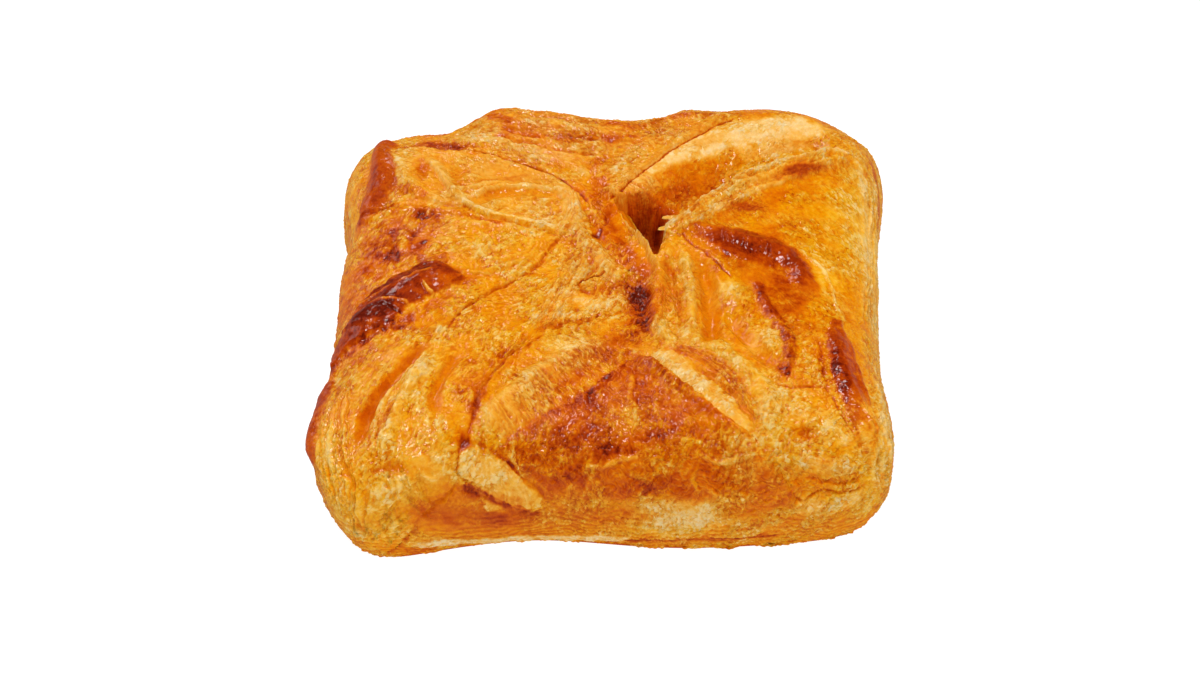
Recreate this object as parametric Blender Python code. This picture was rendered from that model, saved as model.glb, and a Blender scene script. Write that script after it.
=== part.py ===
"""Khachapuri: a square of puff pastry with its four corners folded to the middle, then baked.

The sheet is unrolled flat in the millimetre coordinates (u, v), with v towards the back.
A puffed pillow carries it: a flat-topped dome with a round shoulder and a narrow rim.
Every fold, leaf and hollow is a named form at its place on the sheet, and it moves the
surface along its normal. Underneath, the pastry is flat where it lay on the tray.
"""
from typing import NamedTuple

import bmesh
import bpy
import numpy as np

MM = 0.001

# Driving dimensions of the pillow, in millimetres
CORNERS = {
    "front_left": (-57.0, -63.0),
    "front_right": (61.5, -57.0),
    "back_right": (62.0, 59.5),
    "back_left": (-57.0, 57.0),
}
BOW = {"front": -3.0, "right": -3.5, "back": 1.0, "left": -2.5}  # how far each side's middle bulges outwards
# The rim's own bulges and bays: where, how far along the rim, and how far outwards
RIM_BULGES = (
    ((-59.0, -38.0), 7.0, 2.6),
    ((-50.0, -66.0), 5.0, 1.2),
    ((-24.0, -60.0), 12.0, -1.6),
    ((18.0, -58.0), 14.0, 1.8),
    ((60.0, 42.0), 9.0, 1.4),
    ((-56.0, 20.0), 7.0, -1.0),
)
HALF_WIDTH = 60.0
HEIGHT = 28.0
RIM_HEIGHT = 11.0          # the widest level above the tray
FOOT_SHARE = 0.93          # width where it lies on the tray, as a share of the widest
CORNER_POWER = 7.0         # superellipse power that rounds the four corners
TOP_POWER = 7.0            # how flat the top is
SHOULDER_POWER = 2.4       # how full the shoulder is
APEX = (6.0, 0.0)          # where the four corners of the sheet meet
APEX_FADE = 1.2

# Mesh
CELLS = 70                 # cells along each side of the square
PATH_STEPS = 5             # straight pieces between two points of a fold's path
SKIRT = 0.10               # share of the sheet, at its edge, where the forms fade to the flat base
UNDULATION = 0.35          # size of the dough's slow waves
UNDULATION_WAVES = 14
UNDULATION_SEED = 11
WAVELENGTHS = (11.0, 30.0)


class Fold(NamedTuple):
    """A ridge along a smooth path, or a groove where its rise is negative.

    rise is the height at the path's start and end; left and right are the widths of its two
    flanks, seen along the path; taper is the share of the path in which each end dies away.
    """
    path: tuple
    rise: tuple
    left: float
    right: float
    taper: float = 0.25


class Leaf(NamedTuple):
    """An area of the sheet raised by its own thickness, or sunk, with an edge this many mm wide."""
    corners: tuple
    rise: float
    edge: float


class Swell(NamedTuple):
    """A soft oval hump or hollow: centre, half axes and the turn of the long one in degrees."""
    centre: tuple
    half_axes: tuple
    turn: float
    rise: float


# The large swells, where steam lifted the dough or the filling sank
SWELLS = {
    "middle_dip": Swell((5, -8), (17, 14), 0, -2.6),
    "right_tip_lift": Swell((22, 2), (12, 14), 20, 2.4),
    "front_flap_slope": Swell((6, -60), (44, 14), 0, -2.2),
    "back_hump": Swell((-16, 54), (16, 14), 0, 3.0),
    "back_right_hump": Swell((36, 56), (22, 14), 0, 2.6),
    "back_left_step": Swell((-42, 50), (12, 12), 0, -1.6),
    "left_front_cheek": Swell((-40, -38), (16, 22), 20, 1.2),
    "corner_pucker": Swell((50, -62), (9, 5), 10, -1.6),
}

# Leaves of dough, each lying over or under its neighbours
LEAVES = {
    "left_flap": Leaf(((-8, 10), (-14, 13), (-25, 18), (-41, 24), (-56, 22), (-58, -8), (-32, -17),
                       (-26, -11), (-19, -5), (-13, -2)), 1.3, 2.4),
    "front_crust": Leaf(((6, -29), (-4, -37), (-14, -45), (-24, -51), (-17, -55), (-12, -63), (9, -63),
                         (42, -62), (34, -54), (27, -48), (18, -40)), 0.7, 2.4),
    "front_left_strip": Leaf(((-27, -52), (-21, -52), (-13, -60), (-12, -63), (-16, -64), (-24, -60),
                              (-28, -59)), 1.2, 2.0),
    "back_left_fold": Leaf(((-46, 42), (-36, 38), (-26, 37), (-16, 34), (-8, 29), (-4, 22), (-4, 15),
                            (-8, 10), (-14, 13), (-25, 18), (-38, 23)), 1.8, 2.4),
    "cavity": Leaf(((4, 21), (12, 20), (18, 16), (15, 8), (12, -1), (8, 6)), -9.0, 2.6),
}

# Ridges and grooves, from the left side round by the front to the right and the back
FOLDS = {
    "back_left_ridge": Fold(((-45, 45), (-48, 37), (-50, 30), (-51, 22)), (2.6, 2.6), 5.0, 4.0),
    "left_ridge": Fold(((-26, -4), (-33, 0), (-38, 1), (-44, -4), (-51, -11), (-57, -17)), (2.6, 3.4), 6.5, 4.0),
    "left_side_bulge": Fold(((-55, -24), (-59, -33), (-59, -45)), (2.2, 2.6), 5.0, 5.0),
    "left_outer_fold": Fold(((-38, -22), (-47, -31), (-51, -42), (-53, -58)), (1.6, 2.4), 4.0, 4.0),
    "left_deep_hollow": Fold(((-36, -26), (-42, -35), (-46, -44), (-48, -56)), (-2.0, -3.2), 3.6, 3.2),
    "left_middle_fold": Fold(((-24, -20), (-32, -29), (-38, -38), (-41, -48), (-41, -57)), (1.8, 2.2), 4.0, 3.6),
    "left_second_hollow": Fold(((-22, -25), (-29, -33), (-33, -42), (-34, -50)), (-1.6, -2.4), 3.4, 2.8),
    "left_inner_fold": Fold(((-16, -21), (-23, -31), (-27, -41), (-28, -48)), (1.2, 1.4), 3.0, 3.0),
    "front_left_roll": Fold(((0, -22), (-8, -28), (-14, -36), (-18, -43), (-22, -49)), (1.8, 2.6), 5.0, 4.2),
    "front_left_seam": Fold(((0, -18), (-9, -20), (-18, -28), (-24, -37), (-26, -48), (-29, -56), (-37, -63),
                             (-46, -71)), (-1.4, -1.8), 2.8, 2.8, 0.1),
    "knot_fold": Fold(((-52, -70), (-43, -64), (-35, -59), (-30, -54)), (2.0, 1.8), 3.6, 3.6),
    "front_right_roll": Fold(((10, -27), (16, -33), (22, -39), (27, -47)), (1.2, 1.4), 3.0, 2.6),
    "front_right_seam": Fold(((11, -23), (18, -29), (27, -37), (30, -46), (36, -55), (44, -62), (55, -62)),
                             (-1.4, -1.6), 2.8, 2.8, 0.1),
    "right_front_fold": Fold(((21, -20), (27, -27), (32, -34), (34, -41), (33, -49)), (1.8, 1.8), 3.0, 3.0),
    "right_front_hollow": Fold(((26, -18), (31, -27), (37, -36)), (-1.8, -2.0), 3.2, 2.6),
    "right_tip_outer_fold": Fold(((16, 9), (12, 0), (11, -9), (12, -18), (16, -25)), (2.6, 1.6), 3.0, 3.0),
    "right_tip_groove": Fold(((15, 3), (15, -6), (15, -15)), (-1.4, -1.2), 2.4, 2.4),
    "right_tip_inner_fold": Fold(((17, 6), (19, -4), (19, -14), (18, -22)), (1.6, 1.2), 2.6, 2.6),
    "right_deep_hollow": Fold(((20, 4), (22, -8), (22, -22)), (-2.6, -2.2), 3.4, 2.6),
    "right_ridge": Fold(((19, 11), (27, 12), (34, 9), (40, 4), (44, -4)), (2.2, 2.4), 5.0, 4.2),
    "right_shelf": Fold(((31, -9), (38, -13), (41, -22), (39, -28)), (1.0, 1.2), 4.0, 3.0),
    "right_bulge": Fold(((45, -14), (49, -25), (51, -34), (53, -42), (57, -50)), (2.2, 2.4), 4.5, 4.0),
    "right_cut_edge": Fold(((14, 11), (21, 18), (28, 25), (35, 31), (44, 36), (56, 43)), (3.0, 1.6), 3.0, 6.0, 0.15),
    "trough": Fold(((9, 15), (17, 20), (25, 26), (33, 33), (42, 39), (56, 46)), (-8.5, -2.0), 9.5, 5.0, 0.12),
    "back_cut_edge": Fold(((1, 23), (8, 32), (16, 39), (26, 48), (33, 54)), (1.6, 1.2), 3.0, 2.2, 0.15),
    "back_left_seam": Fold(((-1, 19), (-5, 25), (-10, 31), (-20, 36), (-31, 39), (-42, 43)), (-1.8, -2.0), 3.0, 2.8,
                           0.1),
    "middle_tongue": Fold(((-6, 14), (-4, 4), (0, -4), (6, -8)), (1.2, 1.4), 4.0, 4.0),
}

CRUST_COLOUR = (0.62, 0.24, 0.035, 1.0)
CRUST_ROUGHNESS = 0.42


def clear_scene():
    """Remove whatever the scene holds."""
    for item in list(bpy.data.objects):
        bpy.data.objects.remove(item, do_unlink=True)


def pillow_section():
    """The pillow's cross-section: arc length from the middle, radius (both as shares) and height."""
    turn = np.linspace(0.0, np.pi / 2.0, 1200)
    top_radius = np.sin(turn)
    top_height = RIM_HEIGHT + (HEIGHT - RIM_HEIGHT) * (1.0 - top_radius ** TOP_POWER) ** (1.0 / SHOULDER_POWER)
    low_radius = FOOT_SHARE + (1.0 - FOOT_SHARE) * np.cos(turn)
    low_height = RIM_HEIGHT * (1.0 - np.sin(turn))
    radius = np.concatenate([top_radius, low_radius[1:]])
    height = np.concatenate([top_height, low_height[1:]])
    steps = np.hypot(np.diff(radius) * HALF_WIDTH, np.diff(height)) / HALF_WIDTH
    return np.concatenate([[0.0], np.cumsum(steps)]), radius, height


def pillow_outline(a, b):
    """The pillow's outline in plan, in mm, for a direction (a, b) to the edge of the unit square."""
    shrink = (np.abs(a) ** CORNER_POWER + np.abs(b) ** CORNER_POWER) ** (-1.0 / CORNER_POWER)
    a = a * shrink
    b = b * shrink
    right = ((a + 1.0) / 2.0)[..., None]
    back = ((b + 1.0) / 2.0)[..., None]
    front_edge = np.array(CORNERS["front_left"]) * (1.0 - right) + np.array(CORNERS["front_right"]) * right
    back_edge = np.array(CORNERS["back_left"]) * (1.0 - right) + np.array(CORNERS["back_right"]) * right
    plan = front_edge * (1.0 - back) + back_edge * back
    bow_x = BOW["right"] * np.clip(a, 0.0, 1.0) ** 2 - BOW["left"] * np.clip(-a, 0.0, 1.0) ** 2
    bow_y = BOW["back"] * np.clip(b, 0.0, 1.0) ** 2 - BOW["front"] * np.clip(-b, 0.0, 1.0) ** 2
    plan = plan + np.stack([bow_x * (1.0 - b * b), bow_y * (1.0 - a * a)], axis=-1)
    push = np.ones_like(a)
    for centre, spread, outwards in RIM_BULGES:
        gap = np.linalg.norm(plan - np.array(centre), axis=-1)
        push = push + outwards / HALF_WIDTH * np.exp(-gap ** 2 / (2.0 * spread ** 2))
    return plan * push[..., None]


def pillow_grid():
    """Points of the smooth pillow and their sheet coordinates, with each point's share of the way out."""
    sides = np.linspace(-1.0, 1.0, CELLS + 1)
    a, b = np.meshgrid(sides, sides, indexing="ij")
    out = np.maximum(np.abs(a), np.abs(b))
    middle = out == 0.0
    reach = np.where(middle, 1.0, out)
    edge = pillow_outline(np.where(middle, 1.0, a / reach), b / reach)
    arc, radius, height = pillow_section()
    along = out * arc[-1]
    shift = np.array(APEX) * (np.clip(1.0 - along, 0.0, 1.0) ** APEX_FADE)[..., None]
    plan = edge * np.interp(along, arc, radius)[..., None] + shift
    points = np.concatenate([plan, np.interp(along, arc, height)[..., None]], axis=-1)
    return points, edge * along[..., None] + shift, out


def smooth_path(points):
    """A Catmull-Rom curve through the points, as PATH_STEPS straight pieces between each two."""
    knots = np.array(points, dtype=float)
    padded = np.vstack([2.0 * knots[0] - knots[1], knots, 2.0 * knots[-1] - knots[-2]])
    t = np.linspace(0.0, 1.0, PATH_STEPS, endpoint=False)[:, None]
    pieces = []
    for p0, p1, p2, p3 in zip(padded, padded[1:], padded[2:], padded[3:]):
        bend = (2.0 * p0 - 5.0 * p1 + 4.0 * p2 - p3) * t ** 2 + (3.0 * p1 - p0 - 3.0 * p2 + p3) * t ** 3
        pieces.append(0.5 * (2.0 * p1 + (p2 - p0) * t + bend))
    return np.vstack(pieces + [knots[-1:]])


def nearest_on(path, sheet):
    """Distance from each sheet point to a path, positive on its left, and the share of the path there."""
    best = np.full(sheet.shape[:-1], np.inf)
    side = np.ones_like(best)
    share = np.zeros_like(best)
    steps = np.diff(path, axis=0)
    lengths = np.hypot(steps[:, 0], steps[:, 1])
    total = lengths.sum()
    before = 0.0
    for start, step, length in zip(path, steps, lengths):
        offset = sheet - start
        t = np.clip((offset @ step) / length ** 2, 0.0, 1.0)
        gap = offset - t[..., None] * step
        distance = np.hypot(gap[..., 0], gap[..., 1])
        closer = distance < best
        best = np.where(closer, distance, best)
        side = np.where(closer, np.sign(step[0] * offset[..., 1] - step[1] * offset[..., 0] + 1e-12), side)
        share = np.where(closer, (before + t * length) / total, share)
        before += length
    return best * side, share


def smoothstep(t):
    """0 to 1 with level ends, for t from 0 to 1."""
    t = np.clip(t, 0.0, 1.0)
    return t * t * (3.0 - 2.0 * t)


def fold_rise(fold, sheet):
    """A fold's height: (1 - d^2)^2 across, with d as the share of that flank's width, times the tapered rise."""
    distance, share = nearest_on(smooth_path(fold.path), sheet)
    width = np.where(distance > 0.0, fold.left, fold.right)
    across = (1.0 - np.clip(np.abs(distance) / width, 0.0, 1.0) ** 2) ** 2
    rise = fold.rise[0] + (fold.rise[1] - fold.rise[0]) * share
    return rise * across * smoothstep(np.minimum(share, 1.0 - share) / fold.taper + 0.3)


def leaf_rise(leaf, sheet):
    """A leaf's height: its rise inside the outline, falling to nothing across the edge."""
    corners = np.array(leaf.corners, dtype=float)
    distance, _ = nearest_on(np.vstack([corners, corners[:1]]), sheet)
    inside = np.zeros(sheet.shape[:-1], dtype=bool)
    for (x0, y0), (x1, y1) in zip(corners, np.roll(corners, -1, axis=0)):
        if y0 != y1:
            crosses = (y0 > sheet[..., 1]) != (y1 > sheet[..., 1])
            inside ^= crosses & (sheet[..., 0] < (x1 - x0) * (sheet[..., 1] - y0) / (y1 - y0) + x0)
    depth = np.where(inside, np.abs(distance), -np.abs(distance))
    return leaf.rise * smoothstep(depth / leaf.edge + 0.5)


def swell_rise(swell, sheet):
    """A swell's height: a Gaussian hump, one standard deviation at 0.6 of each half axis."""
    turn = np.radians(swell.turn)
    offset = sheet - np.array(swell.centre, dtype=float)
    long_way = offset[..., 0] * np.cos(turn) + offset[..., 1] * np.sin(turn)
    short_way = offset[..., 1] * np.cos(turn) - offset[..., 0] * np.sin(turn)
    spread = (long_way / swell.half_axes[0]) ** 2 + (short_way / swell.half_axes[1]) ** 2
    return swell.rise * np.exp(-spread / (2.0 * 0.6 ** 2))


def undulation(sheet):
    """The dough's slow waves: a sum of sine waves with seeded directions, lengths and phases."""
    draw = np.random.default_rng(UNDULATION_SEED)
    total = np.zeros(sheet.shape[:-1])
    for _ in range(UNDULATION_WAVES):
        heading = draw.uniform(0.0, 2.0 * np.pi)
        length = draw.uniform(*WAVELENGTHS)
        phase = draw.uniform(0.0, 2.0 * np.pi)
        way = sheet[..., 0] * np.cos(heading) + sheet[..., 1] * np.sin(heading)
        total += np.sin(way * 2.0 * np.pi / length + phase)
    return UNDULATION * total / np.sqrt(UNDULATION_WAVES / 2.0)


def surface_normals(points):
    """Unit normals of a grid of points, upwards on the top."""
    normals = np.cross(np.gradient(points, axis=0), np.gradient(points, axis=1))
    return normals / np.linalg.norm(normals, axis=-1, keepdims=True)


def pastry_grid():
    """The pastry's upper surface and sides, in mm, as a grid whose edge lies on the tray."""
    points, sheet, out = pillow_grid()
    rise = undulation(sheet)
    rise += sum(swell_rise(swell, sheet) for swell in SWELLS.values())
    rise += sum(leaf_rise(leaf, sheet) for leaf in LEAVES.values())
    rise += sum(fold_rise(fold, sheet) for fold in FOLDS.values())
    rise *= smoothstep((1.0 - out) / SKIRT)
    return points + surface_normals(points) * rise[..., None]


def centred(points):
    """The points moved so that their box is centred on the origin in plan."""
    low = points.min(axis=(0, 1))
    high = points.max(axis=(0, 1))
    middle = (low + high) / 2.0
    return points - np.array([middle[0], middle[1], 0.0])


def crust_material():
    """Baked, butter-glazed pastry."""
    material = bpy.data.materials.new("baked_crust")
    material.use_nodes = True
    shader = material.node_tree.nodes["Principled BSDF"]
    shader.inputs["Base Color"].default_value = CRUST_COLOUR
    shader.inputs["Roughness"].default_value = CRUST_ROUGHNESS
    shader.inputs["Metallic"].default_value = 0.0
    return material


def build_khachapuri():
    """One closed solid: the grid of the upper surface, closed by the flat face it lies on."""
    points = centred(pastry_grid()) * MM
    mesh_data = bmesh.new()
    rows = [[mesh_data.verts.new(point) for point in row] for row in points]
    for left, right in zip(rows, rows[1:]):
        for near_left, near_right, far_right, far_left in zip(left, right, right[1:], left[1:]):
            mesh_data.faces.new((near_left, near_right, far_right, far_left))
    rim = [row[0] for row in rows] + rows[-1][1:] + [row[-1] for row in rows[-2::-1]] + rows[0][-2:0:-1]
    mesh_data.faces.new(rim[::-1])
    bmesh.ops.triangulate(mesh_data, faces=mesh_data.faces[:])
    mesh = bpy.data.meshes.new("khachapuri")
    mesh_data.to_mesh(mesh)
    mesh_data.free()
    mesh.shade_smooth()
    mesh.set_sharp_from_angle(angle=np.radians(50.0))
    mesh.materials.append(crust_material())
    khachapuri = bpy.data.objects.new("khachapuri", mesh)
    bpy.context.scene.collection.objects.link(khachapuri)


clear_scene()
build_khachapuri()
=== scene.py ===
"""Khachapuri, dressed: a square of puff pastry, its four corners folded to the middle, baked and buttered.

The dough is one sheet, unrolled flat in the millimetre coordinates (u, v) with v towards the back.
Named forms lie at their places on the sheet. Each lifts or sinks the dough and gives it a tone,
mostly how far it is baked, in places painted shade or a painted highlight. Finer skin, worked out
from seeded noise, adds wrinkles, blisters and torn layers, with paler crests that are partly painted
highlights and painted shade in their hollows. The four flaps are cut from that one sheet along its
seams, so they meet without a gap.
"""

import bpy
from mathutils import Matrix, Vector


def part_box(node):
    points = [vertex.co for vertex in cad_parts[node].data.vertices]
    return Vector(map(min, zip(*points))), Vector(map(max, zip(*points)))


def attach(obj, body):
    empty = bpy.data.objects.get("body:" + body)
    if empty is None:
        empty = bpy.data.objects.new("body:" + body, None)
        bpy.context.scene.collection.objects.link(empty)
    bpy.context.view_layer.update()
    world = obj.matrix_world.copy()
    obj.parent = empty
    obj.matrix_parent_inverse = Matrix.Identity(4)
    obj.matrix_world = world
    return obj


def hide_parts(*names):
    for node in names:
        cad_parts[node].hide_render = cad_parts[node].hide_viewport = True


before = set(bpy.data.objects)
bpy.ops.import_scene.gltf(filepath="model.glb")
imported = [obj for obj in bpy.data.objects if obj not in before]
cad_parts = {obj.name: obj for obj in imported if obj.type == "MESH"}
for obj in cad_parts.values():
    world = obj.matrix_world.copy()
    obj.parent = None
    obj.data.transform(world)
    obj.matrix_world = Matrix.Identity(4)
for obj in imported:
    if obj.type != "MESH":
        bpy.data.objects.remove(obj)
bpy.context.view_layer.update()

import logging
import math
from dataclasses import dataclass, field
from enum import Enum
from functools import cached_property
from typing import ClassVar

import bpy
import numpy as np
from mathutils import Vector

NODE = "khachapuri"
BODY = "root"
MAP = "OFBake"
MM = 0.001
WHITE = (1.0, 1.0, 1.0, 1.0)
Array = np.ndarray
Point = tuple[float, float]
Triple = tuple[float, float, float]
Path = tuple[Point, ...]
log = logging.getLogger("khachapuri")


def smoothstep(t: Array) -> Array:
    """0 to 1 with level ends: t squared times (3 - 2t), t held between 0 and 1."""
    t = np.clip(t, 0.0, 1.0)
    return t * t * (3.0 - 2.0 * t)


def mix(a: Array, b: Array, share: Array) -> Array:
    """a where share is 0 and b where it is 1."""
    return a + (b - a) * share


class Noise:
    """Seeded gradient noise over the sheet, about -1 to 1."""

    TABLE: ClassVar[int] = 256     # gradients each way, a power of two
    MASK: ClassVar[int] = 255      # wraps a cell's number into the table

    def __init__(self, seed: int) -> None:
        """Draws the table of gradients and of per-cell random values.

        Args:
            seed: what makes this noise differ from the others.
        """
        draw = np.random.default_rng(seed)
        angle = draw.uniform(0.0, 2.0 * np.pi, (self.TABLE, self.TABLE))
        self.gradient_x = np.cos(angle)
        self.gradient_y = np.sin(angle)
        self.values = draw.uniform(0.0, 1.0, (5, self.TABLE, self.TABLE))

    def at(self, x: Array, y: Array) -> Array:
        """Gradient noise: the four corner gradients dotted with the offsets, blended by a quintic.

        Args:
            x: first coordinate, one unit to a cell.
            y: second coordinate.

        Returns:
            The noise at each point.
        """
        cell_x, cell_y = np.floor(x), np.floor(y)
        fx, fy = x - cell_x, y - cell_y
        i, j = cell_x.astype(int) & self.MASK, cell_y.astype(int) & self.MASK
        i1, j1 = (i + 1) & self.MASK, (j + 1) & self.MASK
        wx = fx ** 3 * (fx * (fx * 6.0 - 15.0) + 10.0)
        wy = fy ** 3 * (fy * (fy * 6.0 - 15.0) + 10.0)

        def corner(ci: Array, cj: Array, dx: Array, dy: Array) -> Array:
            """One corner's gradient dotted with the offset from it."""
            return self.gradient_x[ci, cj] * dx + self.gradient_y[ci, cj] * dy

        low = mix(corner(i, j, fx, fy), corner(i1, j, fx - 1.0, fy), wx)
        high = mix(corner(i, j1, fx, fy - 1.0), corner(i1, j1, fx - 1.0, fy - 1.0), wx)
        return 1.5 * mix(low, high, wy)

    def fractal(self, sheet: Array, length: float, octaves: int, gain: float = 0.5) -> Array:
        """A sum of octaves, each half as long and gain times as strong as the last.

        Args:
            sheet: points (..., 2) in mm.
            length: the longest wave in mm.
            octaves: how many are added.
            gain: strength of each octave against the last.

        Returns:
            The sum, divided by its total strength.
        """
        total = np.zeros(sheet.shape[:-1])
        strength, norm = 1.0, 0.0
        for octave in range(octaves):
            step = 2.0 ** octave / length
            total += strength * self.at(sheet[..., 0] * step + 17.3 * octave, sheet[..., 1] * step - 9.1 * octave)
            norm += strength
            strength *= gain
        return total / norm

    def shift(self, sheet: Array, length: float, size: float) -> Array:
        """The sheet points pushed about by two fractal noises, so straight edges turn ragged."""
        far = sheet + 71.0
        return sheet + size * np.stack([self.fractal(sheet, length, 3), self.fractal(far, length, 3)], axis=-1)

    def domes(self, sheet: Array, pitch: float, share: float, sizes: Point) -> tuple[Array, Array]:
        """Round domes scattered one to a cell: (1 - (d/r)^2)^2 for the highest of the nine near cells.

        Args:
            sheet: points (..., 2) in mm.
            pitch: the cells' width in mm.
            share: how many of the cells hold a dome.
            sizes: smallest and largest radius as a share of the pitch.

        Returns:
            The height from 0 to 1, and the random value of the dome that gives it.
        """
        x, y = sheet[..., 0] / pitch, sheet[..., 1] / pitch
        cell_x, cell_y = np.floor(x), np.floor(y)
        best = np.zeros(x.shape)
        label = np.zeros(x.shape)
        for dx in (-1.0, 0.0, 1.0):
            for dy in (-1.0, 0.0, 1.0):
                i, j = (cell_x + dx).astype(int) & self.MASK, (cell_y + dy).astype(int) & self.MASK
                jitter_x, jitter_y, chance, size, value = self.values[:, i, j]
                radius = sizes[0] + (sizes[1] - sizes[0]) * size
                gap = ((x - cell_x - dx - jitter_x) ** 2 + (y - cell_y - dy - jitter_y) ** 2) / radius ** 2
                dome = np.where(chance < share, np.clip(1.0 - gap, 0.0, 1.0) ** 2 * (0.4 + 0.6 * value), 0.0)
                label = np.where(dome > best, value, label)
                best = np.maximum(best, dome)
        return best, label


@dataclass(frozen=True)
class Pillow:
    """The smooth body under the folds: a flat-topped dome, a round shoulder, a narrow rim. In mm."""

    front_left: Point = (-57.0, -63.0)
    front_right: Point = (61.5, -57.0)
    back_right: Point = (62.0, 59.5)
    back_left: Point = (-57.0, 57.0)
    front_bow: float = -3.0
    right_bow: float = -3.5
    back_bow: float = 1.0
    left_bow: float = -2.5
    half_width: float = 60.0
    height: float = 28.0
    rim_height: float = 11.0
    foot_share: float = 0.94
    corner_power: float = 7.0
    top_power: float = 7.0
    shoulder_power: float = 2.4
    apex: Point = (6.0, 0.0)
    apex_fade: float = 1.2
    # the rim's own bulges and bays: where, how far along the rim, and how far outwards
    bulges: tuple[tuple[Point, float, float], ...] = (
        ((-59.0, -40.0), 6.5, 2.8),
        ((-45.0, -65.0), 6.0, 2.4),
        ((-17.0, -60.0), 15.0, -2.8),
        ((18.0, -58.0), 14.0, 1.8),
        ((60.0, 42.0), 9.0, 1.4),
        ((60.0, 60.0), 6.0, -1.2),
        ((61.0, -18.0), 10.0, -1.0),
        ((-58.5, -20.0), 4.5, 1.4),
        ((-56.5, 22.0), 6.0, -2.0),
    )

    @cached_property
    def section(self) -> tuple[Array, Array, Array]:
        """The cross-section: arc length from the middle, radius (both as shares) and height in mm.

        Above the rim the height is rim + (height - rim) (1 - r^top)^(1/shoulder); below it the
        section is a parabola that leans in to a crisp foot.
        """
        turn = np.linspace(0.0, np.pi / 2.0, 1200)
        top_radius = np.sin(turn)
        dome = (1.0 - top_radius ** self.top_power) ** (1.0 / self.shoulder_power)
        top_height = self.rim_height + (self.height - self.rim_height) * dome
        low_radius = 1.0 - (1.0 - self.foot_share) * np.sin(turn) ** 2
        low_height = self.rim_height * (1.0 - np.sin(turn))
        radius = np.concatenate([top_radius, low_radius[1:]])
        height = np.concatenate([top_height, low_height[1:]])
        steps = np.hypot(np.diff(radius) * self.half_width, np.diff(height)) / self.half_width
        return np.concatenate([[0.0], np.cumsum(steps)]), radius, height

    def outline(self, a: Array, b: Array) -> Array:
        """The outline in plan: a superellipse stretched to the four corners, bowed and bulged.

        Args:
            a: x of the direction, on the unit square's edge.
            b: y of the direction.

        Returns:
            Points (..., 2) in mm.
        """
        shrink = (np.abs(a) ** self.corner_power + np.abs(b) ** self.corner_power) ** (-1.0 / self.corner_power)
        a, b = a * shrink, b * shrink
        right, back = ((a + 1.0) / 2.0)[..., None], ((b + 1.0) / 2.0)[..., None]
        front_edge = mix(np.array(self.front_left), np.array(self.front_right), right)
        back_edge = mix(np.array(self.back_left), np.array(self.back_right), right)
        bow_x = self.right_bow * np.clip(a, 0.0, 1.0) ** 2 - self.left_bow * np.clip(-a, 0.0, 1.0) ** 2
        bow_y = self.back_bow * np.clip(b, 0.0, 1.0) ** 2 - self.front_bow * np.clip(-b, 0.0, 1.0) ** 2
        plan = mix(front_edge, back_edge, back) + np.stack([bow_x * (1.0 - b * b), bow_y * (1.0 - a * a)], axis=-1)
        push = np.ones_like(a)
        for centre, spread, outwards in self.bulges:
            gap = np.linalg.norm(plan - np.array(centre), axis=-1)
            push = push + outwards / self.half_width * np.exp(-gap ** 2 / (2.0 * spread ** 2))
        return plan * push[..., None]

    def surface(self, out: Array, round_: Array) -> tuple[Array, Array]:
        """Points of the pillow and their places on the sheet.

        Args:
            out: share of the way from the middle (0) to the foot (1).
            round_: place round the square, 0 to 8 from the front left corner, anticlockwise.

        Returns:
            Points (..., 3) and sheet places (..., 2), both in mm.
        """
        a, b = (np.clip(2.0 - self.ring_gap(round_, side), -1.0, 1.0) for side in (3.0, 5.0))
        edge = self.outline(a, b)
        arc, radius, height = self.section
        along = out * arc[-1]
        shift = np.array(self.apex) * (np.clip(1.0 - along, 0.0, 1.0) ** self.apex_fade)[..., None]
        plan = edge * np.interp(along, arc, radius)[..., None] + shift
        points = np.concatenate([plan, np.interp(along, arc, height)[..., None]], axis=-1)
        return points, edge * along[..., None] + shift

    @staticmethod
    def ring_gap(round_: Array, side: float) -> Array:
        """Distance round the square, the short way, to the middle of a side."""
        gap = np.mod(round_ - side, 8.0)
        return np.minimum(gap, 8.0 - gap)

    def normals(self, out: Array, round_: Array) -> Array:
        """Unit normals, from the cross product of small steps outwards and round."""
        step = 2e-3
        outwards = self.surface(np.minimum(out + step, 1.0), round_)[0] - self.surface(out - step, round_)[0]
        sideways = self.surface(out, round_ + step)[0] - self.surface(out, round_ - step)[0]
        normal = np.cross(outwards, sideways)
        length = np.linalg.norm(normal, axis=-1, keepdims=True)
        flat_top = (out < 4.0 * step)[..., None]
        return np.where(flat_top, np.array([0.0, 0.0, 1.0]), normal / np.maximum(length, 1e-12))


@dataclass(frozen=True, kw_only=True)
class Form:
    """What one named shape does to the sheet.

    rise is in mm. tone is how far it is baked, from 0 (pale) to 1 (dark), and for some forms painted
    shade or a painted highlight; None leaves what is there. With a tone comes dry, how floury it looks,
    from 0 (buttery) to 1; None leaves that alone. bake adds to the tone instead, as more or less
    browning, and for some forms as painted shade or painted light. paint is how strongly they cover,
    and calm how much of the fine skin they smooth away.
    """

    rise: float = 0.0
    tone: float | None = None
    dry: float | None = 0.0
    bake: float = 0.0
    paint: float = 1.0
    calm: float = 0.0

    def reach(self) -> tuple[Array, Array]:
        """Lowest and highest sheet place that it touches."""
        raise NotImplementedError

    def cover(self, sheet: Array) -> tuple[Array, Array]:
        """How much of its rise and of its paint reach each point, both from 0 to 1."""
        raise NotImplementedError

    def shade(self, lift: Array) -> Array | float:
        """What is added to its tone where its rise is this strong."""
        return 0.0


def box_about(points: Path, margin: float) -> tuple[Array, Array]:
    """Lowest and highest corner of the points' box, grown by a margin."""
    corners = np.array(points)
    return corners.min(axis=0) - margin, corners.max(axis=0) + margin


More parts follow.
